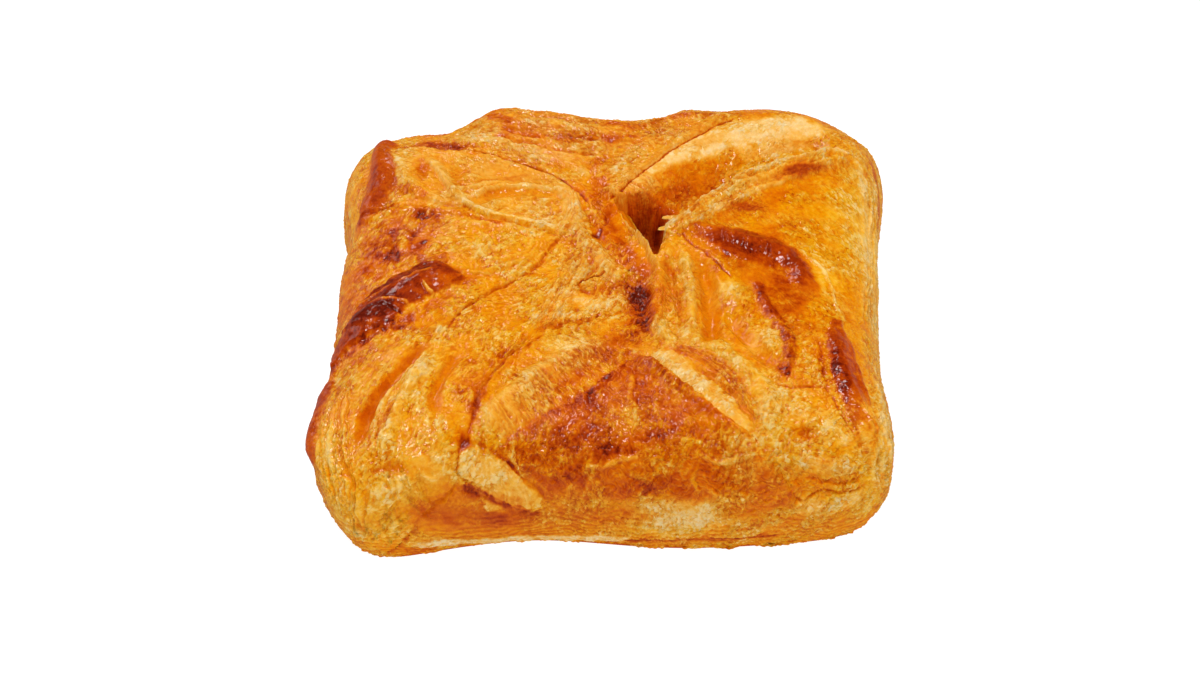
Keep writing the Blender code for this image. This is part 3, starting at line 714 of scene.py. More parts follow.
@dataclass(frozen=True)
class FrontFlap(Region):
    """The front flap: a browned triangle between two pale rolls, over a glazed lower edge."""

    forms: tuple[Form, ...] = (
        Swell((6, -60), (44, 14), rise=-2, tone=0.5, dry=0.03),
        Fold(((2, -23.5), (-5, -27.5), (-11, -32.5), (-15.5, -37.5), (-19.5, -42.5), (-22, -48.5)), 3.8, rise=1,
             end=1.2, taper=0.16, tone=0.26, dry=0.5, paint=1.1),
        Pleats(((-24.5, -41.5), (-20.5, -49)), ((-13.5, -36.5), (-9, -42)), 8, rise=0.35, tone=0.1, dry=0.45),
        Pleats(((-17, -32.5), (-12, -39)), ((-7, -26.5), (-2, -32)), 8, rise=0.35, tone=0.12, dry=0.45),
        Fold(((10, -27.8), (15, -33), (20, -38.6), (25.4, -45.4), (28.6, -50)), 4.6, rise=1.1, taper=0.12, tone=0.14,
             dry=0.6, paint=1.1),
        Pleats(((8, -29), (13, -27)), ((24, -46), (27.5, -43.6)), 9, rise=0.5, tone=0.08, dry=0.7, gap=0.22),
        Leaf(((8, -28), (5, -30.5), (1.6, -34), (-3, -39), (-8, -42.5), (-13, -45.5), (-18, -49), (-20, -51),
             (-17, -54), (-12, -60), (-10, -62.5), (4, -63), (22, -64.5), (43, -64), (39.5, -59.6), (34.2, -55),
             (31, -51.7), (27.5, -48), (22, -43), (17.5, -38.5), (14, -34.6), (11, -31)), 1.6, rise=0.4, tone=0.62,
             dry=0.05, paint=1.2),
        Fold(((8, -28), (11, -31), (14.2, -34.8), (18, -39), (22.5, -43.3), (27.8, -48.2), (34, -55), (39.5, -59.8),
             (45, -64.5)), (0.8, 2.6), rise=0.4, taper=0.06, tone=0.74),
        Fold(((6, -30), (1, -35), (-4, -40), (-10, -44), (-17, -48.6)), (1.6, 1), tone=0.72),
        Swell((-3, -49.5), (9, 5), -10, tone=0.84, dry=0.1, paint=1.2),
        Swell((-0.5, -41), (5, 3.5), tone=0.76),
        Swell((9, -37.5), (3.6, 3), tone=0.8),
        Swell((1.8, -51.8), (2.6, 1.3), tone=0.92, dry=0.2, paint=1.4),
        Swell((14.6, -47), (4, 3.4), tone=0.82),
        Swell((24.5, -57), (6, 2.6), -10, tone=0.8),
        Swell((10.5, -59.5), (8, 2.2), tone=0.76),
        Swell((28, -59), (8, 2.6), tone=0.72),
        Swell((-11, -53.5), (6, 3.6), -40, tone=0.72),
        # A pale, dry patch on the brown triangle's right side: a painted whitish sheen.
        Swell((31.5, -55.5), (5.5, 4), -35, tone=0.66, dry=0.6),
        Fold(((19, -52.5), (23, -54), (27, -54), (31, -53)), 0.8, rise=0.35, tone=0.3, dry=0.4, paint=0.9),
        Fold(((-3.6, -55), (0.5, -54.9), (4.4, -54.2), (8, -53.4)), (1, 0.9), rise=0.35, tone=0.3, dry=0.35, paint=0.9),
        Fold(((21, -60), (26, -62.3), (33, -62.5)), 0.8, rise=0.3, tone=0.32, dry=0.35, paint=0.9),
        Fold(((6.3, -33.5), (6.5, -37), (6, -41), (6.7, -45), (6.6, -48.6)), 0.9, rise=0.35, tone=0.36, dry=0.35,
             paint=0.9),
        Swell((-30, -67.5), (15, 5.5), -8, rise=0.5, tone=0.6, calm=0.6),
        Swell((-23.5, -67.5), (5, 2.2), tone=0.76, dry=0.1),
        Swell((-36, -66), (5, 2), -35, tone=0.68),
        Leaf(((-26.5, -51), (-23.5, -51.8), (-20.5, -53.5), (-17.7, -56.5), (-15, -60), (-13, -62.5), (-13.3, -64.3),
             (-16.5, -64.3), (-19.5, -61.8), (-22.5, -59.8), (-25.5, -58.8), (-28.5, -57.5), (-28.7, -55.5),
             (-27.7, -53)), 0.6, rise=0.5, tone=0.16, dry=0.35, paint=1.2),
        Pleats(((-26.5, -51.5), (-26, -58.5)), ((-16, -58.5), (-15, -64)), 8, rise=0.2, tone=0.1, dry=0.45, gap=0.14),
        Fold(((-25, -50.6), (-22, -51.5), (-19.5, -53.2), (-16.8, -56.2), (-14, -60), (-12, -63)), (1.6, 0.5),
             rise=-0.25, peak=1, taper=0.1, tone=0.7, paint=1.4),
        # The dark line below the pale strip: its painted shadow.
        Fold(((-29, -59), (-25, -60.5), (-22, -62.8), (-18.5, -65), (-12, -66)), (0.7, 2), rise=-0.2, taper=0.1,
             tone=0.73, dry=0.25, paint=1.1),
        Fold(((-11, -21.5), (-16, -26), (-20.5, -31), (-23, -36.5), (-24.5, -40.5), (-25, -45.5), (-26, -48.5),
             (-27.5, -51), (-28.5, -54), (-29.5, -57.5)), (0.8, 0.5), rise=-0.4, peak=1, taper=0.08, tone=0.68,
             paint=1.3),
        Swell((-27.3, -50.3), (1.5, 1.9), -30, rise=-0.4, tone=0.9),
        Swell((-24.8, -42.5), (1.2, 2.4), tone=0.8),
        Pleats(((11.5, -25), (18, -29), (23, -34), (27, -40), (29.5, -48)), ((14, -22.5), (20.5, -26), (26, -31.5),
               (30.5, -39), (32.5, -48)), 4, rise=0.45, tone=0.44, dry=0.05, gap=0.3),
        Fold(((18.6, -30.6), (23, -35), (27, -39.8), (29.6, -45.4)), 0.8, rise=-0.7, tone=0.54, dry=0.1, calm=0.4),
        Fold(((9, -22), (13, -23), (19, -26), (25.5, -31.5), (30, -39), (32.5, -48), (36, -55), (42, -61)), (0.6, 0.8),
             rise=-0.35, peak=1, taper=0.1, tone=0.62, paint=1.2),
        Swell((18, -66.8), (12, 3.2), tone=0.12, dry=0.6, calm=0.2, paint=1.8),
        Swell((2, -67), (13, 2.2), tone=0.56, calm=0.5),
        Fold(((-28, -71), (-16, -70), (0, -70), (10, -71)), 1.6, tone=0.46, calm=0.5),
        Swell((31, -65.5), (5, 2), 10, tone=0.7),
        Swell((38, -63.5), (4, 1.6), 10, tone=0.66),
        Fold(((-48, -75.6), (-41.5, -74.8), (-32, -74.4), (-21.5, -73.8), (-11, -74), (0, -74), (8, -74.6)), (1.4, 1.6),
             rise=0.3, taper=0.06, tone=0.1, dry=1, calm=0.2, paint=1.5),
        Fold(((6, -75), (20, -75), (32, -74), (46, -72)), 0.8, rise=-0.2, taper=0.1, tone=0.82, dry=0.2, paint=1.2),
        *browning_and_painted_light((5, -6, 5, 3, 0, 0.2), (8, -42, 3.6, 3, 0, 0.14), (-5, -21.5, 5, 2, 30, 0.13),
                 (28, -48.4, 3.4, 2.2, -50, -0.18), (-32, -70, 5, 2.4, 0, -0.12), (20, -72, 9, 2, 0, -0.12),
                 (-5, -25, 5, 2.4, 40, 0.15), (-9.5, -30, 4.5, 2, 45, 0.13), (21.5, -51.5, 3, 3, 0, 0.14),
                 (-4, -56.5, 6, 2.4, 0, 0.14), (-18.5, -53, 2.4, 2.4, 0, 0.12), (18.6, -64, 6, 1.6, 0, 0.14),
                 (16, -70.6, 12, 2.4, 0, -0.16), (0, -26.5, 6, 3, 0, 0.1), (0, -53.5, 3.4, 2, 0, -0.1),
                 (3.8, -45.5, 2.4, 4, 0, -0.16), (10.4, -49.6, 2.4, 1.4, 0, 0.16), (37, -57.5, 5, 2.4, -30, 0.1),
                 (27, -65.5, 8, 3, 0, -0.14), (4, -63, 6, 2.4, 0, -0.04)),
        Fold(((9, -6), (7, -14), (3, -22), (-4, -29), (-10, -35), (-15, -41), (-20, -47)), (5, 4), bake=0.2, paint=1.1),
        Fold(((10, -27), (6.5, -31), (2, -35.6), (-5, -40.5), (-12.5, -43.6)), (2.6, 3), bake=0.17),
        Fold(((-8, -32.5), (-1, -28), (5, -24)), 1.6, bake=-0.12),
        # Darker below the pale strip: its painted shadow.
        Fold(((-31, -60.6), (-26, -60.6), (-21.5, -62.4), (-16.5, -63)), (2, 2.2), bake=0.18),
        Fold(((6, -59), (12.5, -60.7), (17, -61.5), (20.5, -63)), 1.6, bake=0.1),
        Fold(((15, -49.8), (19, -50.6), (22, -52.4)), 0.8, rise=0.3, bake=-0.26),
        Fold(((10.5, -53), (11.4, -56), (13.8, -58)), 0.8, rise=0.3, bake=-0.24),
        Fold(((19.6, -55), (18.8, -58.5), (20.5, -61.5)), 0.7, rise=0.3, bake=-0.26),
    )
    skins: tuple[Skin, ...] = (
        Skin((10, -48), (26, 13), 0, 75, 0.3, 0.3, 0.26),
        Skin((-12, -36), (17, 7), 52, 142, 0.55, 0.06, 0.08),
        Skin((20, -38), (15, 5), -48, 45, 0.5, 0.06, 0.08),
        Skin((-20, -58), (9, 5), -45, 50, 0.45, 0.05, 0.08),
        Skin((-34, -69), (16, 7), -10, 0, 0.1, 0.05, 0.06),
        Skin((18, -68), (16, 5), 0, 20, 0.3, 0.12, 0.35),
    )


@dataclass(frozen=True)
class RightFlap(Region):
    """The right flap: a high tip over the gap, a torn edge along it, dark ridges and amber hollows."""

    forms: tuple[Form, ...] = (
        Swell((22, 2), (12, 14), 20, rise=2.4),
        Swell((44, 16), (15, 17), tone=0.44),
        Swell((62, 10), (8, 36), tone=0.2, dry=0.3),
        Fold(((55, 41), (57, 34), (58.6, 27), (59.4, 20), (58.4, 10), (56.8, -1)), 1.8, tone=0.04, dry=0.7, paint=1.3),
        Fold(((58, 47), (61.5, 42), (64, 36), (65, 28)), (1.4, 1.6), tone=0.62, dry=0.5),
        Swell((42, -46), (15, 16), tone=0.32, dry=0.05),
        Fold(((18, -21), (24, -26.5), (30, -33), (33.5, -41), (33.5, -49)), (2.8, 2.6), rise=1.4, tone=0.18, dry=0.15),
        Fold(((25.5, -14), (28.5, -20.5), (31.5, -26), (35, -30.5)), (2.6, 2.2), rise=-1.5, tone=0.5, calm=0.85,
             paint=1.2),
        Fold(((15, 6), (12.5, 0), (11.5, -8), (12, -18), (14.5, -24.5)), (2.6, 2.4), rise=2.2, end=0.6, tone=0.18,
             dry=0.3),
        Fold(((13.5, 1), (14.5, -5), (16, -10), (16, -15)), 1.3, rise=-1, tone=0.84, dry=0.3),
        Fold(((17, 4), (18.5, -4.5), (19, -12.5), (18, -21)), (1.4, 2), rise=1.5, end=0.8, tone=0.1, dry=0.25),
        Fold(((20.5, 0.5), (22, -6), (22.5, -14), (22, -25)), (2.6, 2.2), rise=-2.2, tone=0.47, calm=0.9, paint=1.2),
        Pleats(((10.5, -4), (10.5, -12), (12, -22)), ((14.5, -6), (14, -12), (15, -21)), 3, rise=0.4, tone=0.2,
               dry=0.25),
        Swell((26.5, -9), (3.4, 3.4), rise=1, tone=0.1, dry=0.25),
        Swell((27, -16), (3, 4), tone=0.36, calm=0.5),
        Swell((33, -23), (3, 4.5), -40, rise=0.8, tone=0.2, dry=0.4),
        Swell((37.8, -8.5), (6, 9.5), 15, tone=0.64, calm=0.3),
        Fold(((31.5, -3), (33, -9.5), (35.4, -16), (38, -22.5), (38.5, -27.5), (37.3, -31.5)), 1.8, rise=0.7, tone=0.82,
             dry=0.05),
        Fold(((43, -6), (43.8, -12.5), (42.6, -19.5)), 1.8, tone=0.64),
        Swell((37, -32), (1.8, 1.8), tone=0.96, dry=0.1),
        Leaf(((19.5, 11), (24, 12), (28.5, 11), (33, 9.8), (37.5, 8.2), (40.5, 5.8), (39.5, 1), (35.5, -0.6),
             (31, -0.2), (26.5, 1.4), (22.5, 4.8)), 1.8, rise=0.5, tone=0.82, dry=0.05, calm=0.5, paint=1.5),
        Fold(((19.5, 10), (25, 8.8), (30, 7), (34, 5.8), (37.5, 4.4), (40, 2), (41.8, -1.8), (43, -6)), (3.2, 3.8),
             rise=1.1, taper=0.16, tone=0.82, dry=0.15, calm=0.6, paint=1.5),
        Pleats(((22, 11.4), (23, 5)), ((38, 7.8), (36, 1)), 9, rise=0.2),
        Swell((28, 4.6), (6, 2), -10, tone=0.93, dry=0.1),
        Fold(((17.2, 8.5), (19, 5.4), (21.2, 2.6), (24.5, -1.6), (27.2, -4.9)), 0.5, rise=-0.3, peak=1, tone=0.82,
             paint=1.3),
        Swell((30.5, -2.6), (3.6, 2.4), -40, tone=0.5, calm=0.4),
        Fold(((40.5, 7), (43, 3.8), (45.9, 1), (47.3, -3), (48, -8), (48.4, -13)), 0.6, rise=0.4, tone=0.2, dry=0.35),
        Leaf(((47.3, -15), (46.3, -20.5), (46, -26), (46.4, -32), (47.7, -37.5), (49.5, -42.2), (51.5, -46.6),
             (53.7, -50.1), (56.6, -53), (57, -48.5), (56.6, -44.5), (55.6, -40.5), (54, -36), (52.6, -30),
             (51.4, -24.5), (50.4, -19), (49.3, -14.5)), 1.2, rise=0.5, tone=0.76, dry=0.05, calm=0.5, paint=1.5),
        Fold(((47.8, -20), (48.2, -25), (48.8, -31), (50.4, -37), (52.4, -42.5), (54.6, -47), (56.4, -51.5)),
             (2.8, 2.6), rise=1.1, taper=0.16, tone=0.8, dry=0.1, calm=0.6, paint=1.5),
        Fold(((47.4, -24), (47.8, -30), (49, -36.5), (51, -43), (54, -49.5)), 1.6, tone=0.88, dry=0.05),
        Fold(((54.4, -19), (55.6, -27), (56.6, -34)), 1.6, tone=0.44, dry=0.05),
        Fold(((57, -29), (58.5, -35), (60, -43), (62.5, -50)), 2, rise=0.4, tone=0.2, dry=0.4),
        Fold(((44.4, -22), (44.6, -31), (46, -38), (48.6, -43.6), (51.6, -48), (53.8, -51.5)), 0.6, rise=-0.3, peak=1,
             tone=0.64),
        Swell((35, -40), (4, 2.8), -30, rise=0.7, tone=0.2, dry=0.3),
        Swell((41, -44), (3, 2.2), rise=0.6, tone=0.26, dry=0.35),
        Swell((41, -47.6), (2.6, 1.8), rise=-0.8, tone=0.62),
        Swell((45.4, -47.2), (1.8, 2.2), rise=0.4, tone=0.18, dry=0.25),
        Swell((49, -48.8), (1.8, 1.6), rise=0.4, tone=0.14, dry=0.4),
        Fold(((40, -54), (45.5, -54), (52, -55)), (1.6, 1.4), rise=0.4, tone=0.2, dry=0.7),
        Fold(((42.5, -57), (47, -57.8), (55, -56.8)), 0.8, rise=-0.3, tone=0.66),
        Fold(((33.8, -35.8), (39.8, -36.5), (46, -36)), 0.6, rise=-0.3, tone=0.6),
        Swell((40, -56.5), (2.4, 1.6), rise=-0.5, tone=0.52, dry=0.1),
        Swell((47, -54.5), (4, 2.2), rise=0.5, tone=0.34, dry=0.3),
        Fold(((42, -61), (45, -62.5), (47, -60), (54, -59.5), (57, -58)), 0.6, rise=-0.4, peak=1, tone=0.72, paint=1.4),
        Swell((47.5, -63.7), (4, 2), rise=0.6, tone=0.22, dry=0.45),
        Swell((54.5, -62), (3.6, 2.2), 30, rise=0.5, tone=0.12, dry=0.4),
        Pleats(((50, -43), (53, -49), (57.5, -54.5), (62.5, -60.5)), ((58, -33), (60, -42), (64, -51), (68, -59)), 6,
               rise=0.5, tone=0.24, dry=0.25),
        Pleats(((56, 37), (57, 27), (56, 12), (54.5, -3), (54, -14)), ((62, 38), (63.5, 26), (61, 6), (58, -12)), 4,
               rise=0.4, tone=0.18, dry=0.3, gap=0.22),
        Fold(((20, 8.5), (27, 15.5), (34, 21.5), (42, 26)), (3, 4), tone=0.54),
        Fold(((16.5, 9.5), (22, 14), (29, 21.5), (37, 27), (49, 33.5)), (0.8, 0.7), rise=0.4, tone=0.16, dry=0.5),
        Fold(((12.8, 9), (17, 12.8), (24.3, 22.5), (30, 28), (35.4, 31.2), (42, 34.6), (53, 40.4)), (1.3, 6), rise=2.6,
             end=0.5, taper=0.15, paint=0),
        Pleats(((12.3, 10.2), (16, 14.4), (23.5, 24), (29, 29.4), (35, 32.7), (42, 36.1), (53, 41.9)), ((14.5, 7),
               (19.5, 11), (27, 19.5), (33, 25), (38.5, 28.6), (45, 31.8), (54, 36.8)), 5, rise=0.4, tone=0.2, dry=0.4,
               gap=0.16),
        Swell((42.5, 31), (6.2, 1.5), 24, tone=0.79, dry=0.5, calm=0.5, paint=1.3),
        Swell((30.6, 19.4), (4, 1.7), -14, tone=0.84, dry=0.35, calm=0.4, paint=1.3),
        Fold(((12.8, 9.2), (17, 13.2), (24.3, 22.9), (30, 28.4), (35.4, 31.6), (42, 35), (53, 40.8)), (2.2, 1.1),
             rise=0.5, taper=0.05, tone=0.12, dry=0.7, paint=1.2),
        *browning_and_painted_light((38, -8, 5, 8, 15, 0.12), (37.5, 11.5, 5, 4, 0, 0.07), (54, 18, 10, 14, 0, -0.2),
                 (36, 17, 8, 4, 20, -0.08), (44, -11, 1.8, 5, 0, -0.14), (39, -33.5, 3.6, 4, 0, 0.12),
                 (48.4, -35, 1.6, 5, 0, 0.1), (55.8, -44, 1.8, 6, -12, 0.16), (31, 35.5, 5, 2, 30, -0.16),
                 (39, 38.8, 5, 2, 26, -0.14), (35.5, 30.2, 3.6, 1.8, 35, -0.14), (29.5, 26.6, 3, 1.6, 35, 0.1),
                 (15.5, -4.2, 1.8, 4, 0, 0.14), (42.6, -12, 1.6, 6, 0, -0.1), (62, -62.5, 4, 4, 0, -0.16),
                 (43, -51.7, 4, 3, 0, 0.1), (35.4, -58, 3.4, 3, 0, 0.12), (45, -27, 2.4, 5, 0, 0.15),
                 (47, -1, 3, 6, 0, -0.14), (45, -34, 2.4, 5, 0, 0.16), (50, -42.5, 2.4, 4, -30, 0.1),
                 (38, -21, 3, 3, 0, 0.1), (28.7, -11.6, 3, 3, 0, 0.1), (58, -48, 6, 14, 12, -0.22),
                 (20, -30, 3, 3, 0, -0.08)),
        Fold(((40, 8), (43.4, 4.4), (45.4, -1), (46, -8)), 1.6, bake=-0.16),
        # Darker along the underside of the torn edge: painted shadow between its layers.
        Fold(((14.5, 9.5), (18, 13), (22, 17.5)), (1.4, 2), bake=0.12),
        Fold(((22, 3), (26, 0.6), (30, -1.6)), 1.8, bake=0.2),
        # Darker along the underside of the torn edge: painted shadow between its layers.
        Fold(((17, 13.6), (20.7, 17.3), (25, 20.5)), 1.6, bake=0.12),
        Fold(((43, 9), (45.5, 5), (47.6, 1), (48.6, -4)), 1.4, bake=-0.14),
    )
    skins: tuple[Skin, ...] = (
        Skin((15, -8), (6, 18), 0, 88, 0.5, 0.05, 0.2),
        Skin((24, -12), (6, 16), 0, 80, 0.16, 0.08, 0.06),
        Skin((42, 14), (16, 15), 0, 120, 0.2, 0.26, 0.1),
        Skin((60, 4), (7, 36), 0, 92, 0.42, 0.06, 0.18),
        Skin((42, -46), (16, 15), 0, 75, 0.34, 0.3, 0.34),
        Skin((34, -32), (7, 16), 25, 60, 0.4, 0.1, 0.16),
        Skin((30, 24), (22, 3), 38, 38, 0.5, 0.05, 0.25),
    )


@dataclass(frozen=True)
class Middle(Region):
    """Where the four flaps meet: a torn tongue, a thin curved layer, and the cavity beside them."""

    forms: tuple[Form, ...] = (
        Swell((5, -8), (17, 14), rise=-2.4, tone=0.34, dry=0.15),
        Pleats(((-6, 6), (-9, -2.5), (-12, -11.5), (-15.5, -21)), ((0.5, 4), (-3, -4.5), (-7, -13), (-10, -20.5)), 6,
               rise=0.6, tone=0.18, dry=0.3, gap=0.24),
        Fold(((-6, 14), (-3, 9), (0, 4), (4, -2)), (2.6, 3), rise=1.2, tone=0.2, dry=0.4),
        Fold(((-3, 18), (-1, 13), (1, 9), (1, 6)), (1.1, 1.3), rise=-0.7, tone=0.62),
        Fold(((-5.5, -5), (-2.5, -2.2), (1, -0.7)), 0.5, rise=-0.5, peak=1, tone=0.88, paint=1.5),
        Fold(((-5, -3), (-4, -5.5), (-1.5, -7)), 0.5, rise=-0.4, tone=0.62),
        Fold(((-13, -20), (-8, -18), (-2, -14.5), (3.5, -12.5)), (1.5, 1.6), rise=-0.4, tone=0.62),
        Fold(((-6, -8), (-2, -9.5), (2.5, -10)), (2, 1.6), rise=0.4, tone=0.14, dry=0.45),
        Swell((-6.5, -24.5), (5, 3), 40, rise=0.4, tone=0.1, dry=0.5),
        Swell((8, -8.5), (2.6, 6), rise=-1.2, tone=0.9, dry=0.05),
        Swell((8.5, -15), (2.6, 3), tone=0.76),
        Fold(((-1, 10), (1, 14), (3, 18)), 1, rise=-0.4, tone=0.8, dry=0.1),
        Leaf(((3.5, 21.5), (9, 24), (13, 22), (13.5, 16), (13, 10), (11.5, 5), (9.5, 9), (6.5, 15)), 2.2, rise=-9,
             tone=0.66, dry=0.1, calm=1, paint=1.2),
        Swell((10, 21.5), (6.5, 3), 8, tone=0.76, dry=0.1, calm=0.6, paint=1.6),
        Swell((8, 21), (1.1, 0.9), rise=-0.8, tone=1, dry=None),
        Swell((11.5, 22.5), (1.2, 0.8), rise=-0.8, tone=1, dry=None),
        Swell((10.5, 19.8), (0.9, 0.9), rise=-0.7, tone=1, dry=None),
        Fold(((2, 20), (4, 13), (7, 6), (11, -2)), (1.5, 2.8), tone=0.54, calm=0.8),
        Fold(((4, 21), (6, 15), (8, 10), (10, 4), (12, -1)), (0.7, 0.8), rise=1.8, tone=0.2, dry=0.3),
        *browning_and_painted_light((-5, 10, 3, 3, 0, 0.16), (0, 4, 5, 4, 0, 0.2), (7, -1, 4, 3, 0, 0.12), (13, -8.5, 2.4, 4, 0, 0.16),
                 (0, -5.5, 4, 2, 0, 0.14), (8, -19.5, 3.4, 3.4, 0, 0.18), (4, -4.6, 5, 2.6, 0, 0.16),
                 (10.6, -13.5, 2.6, 6, 0, 0.14), (4, -28, 4, 3, 0, 0.1), (6, -4.5, 6, 2.4, 0, 0.1),
                 (7.6, 3.4, 2, 3, 0, -0.12)),
        Fold(((0, 31.5), (0, 24.5), (0.5, 18), (1.5, 13.5), (3.5, 8.5), (5.5, 4), (8.5, 0)), 2.6, bake=0.2, paint=1.2),
        Fold(((4, -3), (8, -10), (8, -18), (4, -25), (-3, -31), (-10, -36.5)), (5, 4.5), bake=0.17, paint=1.1),
    )
    skins: tuple[Skin, ...] = (
        Skin((0, -2), (11, 18), 0, 68, 0.55, 0.08, 0.3),
        Skin((10, 12), (6, 10), 0, 90, 0.2, 0.2, 0.4),
    )


@dataclass
class DoughSheet:
    """The whole sheet: its forms, its fine skin and how they bake and colour it, painted shade and highlights included.
    """

    pillow: Pillow = field(default_factory=Pillow)
    base_tone: float = 0.42
    base_dry: float = 0.02
    skirt: float = 0.03            # share of the sheet, at its edge, where the forms fade to the foot
    foot_layer: float = 0.6        # mm, the thickness of a layer at the ragged foot
    foot_rag: float = 0.9          # mm that those layers stick out or fall short
    foot_height: float = 3.2       # mm above the tray where the ragged layers end
    cut_pitch: float = 0.5         # mm between the layers that show where the dough is torn steeply
    slow_wave: float = 0.45        # mm
    grain_ways: int = 8
    wrinkle_length: float = 5.0
    wrinkle_width: float = 0.85
    film_wave: float = 3.6
    film_octaves: int = 4
    blister_pitch: float = 2.9
    flake_wave: float = 10.0
    flake_levels: float = 7.0
    crinkle_height: float = 0.09
    layer_pitch: float = 1.3       # mm between the layers that show on the side walls
    layer_height: float = 0.16
    wall_starts: float = 0.80      # share of the way out where the layers begin to show
    breaks: float = 0.6            # how much noise breaks up the paint of a form
    regions: tuple[Region, ...] = (BackFlap(), LeftFlap(), FrontFlap(), RightFlap(), Middle())

    def __post_init__(self) -> None:
        """Makes one noise for each effect, so that a change to one leaves the others alone."""
        self.forms = [form for region in self.regions for form in region.forms]
        self.skins = [skin for region in self.regions for skin in region.skins]
        names = ("slow", "warp", "grain", "wrinkle", "blister", "flake", "tone", "dry", "layer", "film")
        self.noise = {name: Noise(101 + number) for number, name in enumerate(names)}

    def apply_forms(self, sheet: Array) -> tuple[Array, Array, Array, Array]:
        """Adds up the forms in order, on a sheet that is pushed about so that their edges are ragged.

        Args:
            sheet: points (..., 2) in mm.

        Returns:
            The rise in mm, the tone, the dryness and how calm the skin is.
        """
        flat = self.noise["warp"].shift(self.noise["slow"].shift(sheet, 7.0, 1.0), 2.2, 0.5).reshape(-1, 2)
        whole = smoothstep(self.noise["flake"].fractal(flat + 13.0, 3.2, 4, 0.6) * 1.6 + 0.62)
        rise = np.zeros(len(flat))
        tone = np.full(len(flat), self.base_tone)
        dry = np.full(len(flat), self.base_dry)
        calm = np.zeros(len(flat))
        for form in self.forms:
            low, high = form.reach()
            near = np.flatnonzero(np.all((flat > low) & (flat < high), axis=1))
            if not len(near):
                continue
            lift, paint = form.cover(flat[near])
            rise[near] += form.rise * lift
            cover = np.clip(paint * form.paint * mix(1.0, whole[near], self.breaks), 0.0, 1.0)
            if form.tone is not None:
                tone[near] = mix(tone[near], form.tone + form.shade(lift), cover)
                if form.dry is not None:
                    dry[near] = mix(dry[near], form.dry, cover)
            tone[near] += form.bake * cover
            calm[near] = np.maximum(calm[near], form.calm * paint)
        shape = sheet.shape[:-1]
        return rise.reshape(shape), tone.reshape(shape), dry.reshape(shape), calm.reshape(shape)

    def skin_at(self, sheet: Array) -> tuple[Array, Array]:
        """The grain's direction and the fine heights, blended from the skins by their Gaussians.

        Args:
            sheet: points (..., 2) in mm.

        Returns:
            The doubled grain direction (..., 2), and wrinkle, blister and flake height (..., 3).
        """
        total = np.full(sheet.shape[:-1], 0.05)
        way = np.zeros(sheet.shape)
        heights = np.zeros(sheet.shape[:-1] + (3,)) + total[..., None] * np.array([0.2, 0.1, 0.1])
        for skin in self.skins:
            weight = np.exp(-Swell(skin.centre, skin.half_axes, skin.turn).spread(sheet))
            double = math.radians(2.0 * skin.grain)
            way += weight[..., None] * np.array([math.cos(double), math.sin(double)])
            heights += weight[..., None] * np.array([skin.wrinkle, skin.blister, skin.flake])
            total += weight
        length = np.linalg.norm(way, axis=-1, keepdims=True)
        return way / np.maximum(length, 1e-9), heights / total[..., None]

    def wrinkles(self, sheet: Array, way: Array) -> Array:
        """Flowing wrinkles: for each of a few fixed directions a stretched ridged noise, mixed by how
        well that direction fits the grain, as cos^4 of twice the angle between them.

        Args:
            sheet: points (..., 2) in mm.
            way: the doubled grain direction (..., 2).

        Returns:
            The wrinkles' height, about -1 to 1.
        """
        noise = self.noise["wrinkle"]
        bent = noise.shift(sheet, 8.0, 1.8)
        wrinkle = np.zeros(sheet.shape[:-1])
        norm = np.full(sheet.shape[:-1], 1e-6)
        for number in range(self.grain_ways):
            angle = math.pi * number / self.grain_ways
            fit = way @ np.array([math.cos(2.0 * angle), math.sin(2.0 * angle)])
            weight = np.clip(fit, 0.0, 1.0) ** 4
            along = (bent[..., 0] * math.cos(angle) + bent[..., 1] * math.sin(angle)) / self.wrinkle_length
            across = (bent[..., 1] * math.cos(angle) - bent[..., 0] * math.sin(angle)) / self.wrinkle_width
            wide = noise.at(along + 31.0 * number, across / 2.0)
            thin = noise.at(along * 1.7 + 5.0, across + 13.0 * number)
            wrinkle += weight * (0.6 * (1.0 - 2.4 * np.abs(wide)) + 0.4 * (1.0 - 2.4 * np.abs(thin)))
            norm += weight
        return wrinkle / norm

    def film(self, sheet: Array) -> Array:
        """A crumpled film: octaves of (1 - 1.9 |noise|)^2, each scaled by the one before it, so that
        the finer creases gather on the crests and the hollows stay smooth.

        Args:
            sheet: points (..., 2) in mm.

        Returns:
            The height from 0 to 1.
        """
        noise = self.noise["film"]
        bent = noise.shift(sheet, 5.0, 1.0)
        total = np.zeros(sheet.shape[:-1])
        weight, strength, norm = np.ones_like(total), 1.0, 0.0
        for octave in range(self.film_octaves):
            step = 2.1 ** octave / self.film_wave
            value = noise.at(bent[..., 0] * step + 31.0 * octave, bent[..., 1] * step - 17.0 * octave)
            ridge = np.clip(1.0 - 1.9 * np.abs(value), 0.0, 1.0) ** 2
            total += strength * weight * ridge
            norm += strength
            weight = np.clip(1.6 * ridge, 0.0, 1.0)
            strength *= 0.6
        return total / norm

    def flakes(self, sheet: Array) -> tuple[Array, Array]:
        """Torn layers: a slow noise cut into levels. Each level slopes gently and ends in a sharp edge.

        Args:
            sheet: points (..., 2) in mm.

        Returns:
            The height from -0.5 to 0.5, and how near each point is to an edge, from 0 to 1.
        """
        level = self.noise["flake"].fractal(self.noise["warp"].shift(sheet, 3.0, 0.5), self.flake_wave, 5, 0.55)
        level = level * self.flake_levels
        part = level - np.floor(level)
        edge = smoothstep((part - 0.86) / 0.14)
        return (edge - part) + 0.5, np.clip(1.0 - np.abs(part - 0.9) / 0.12, 0.0, 1.0)

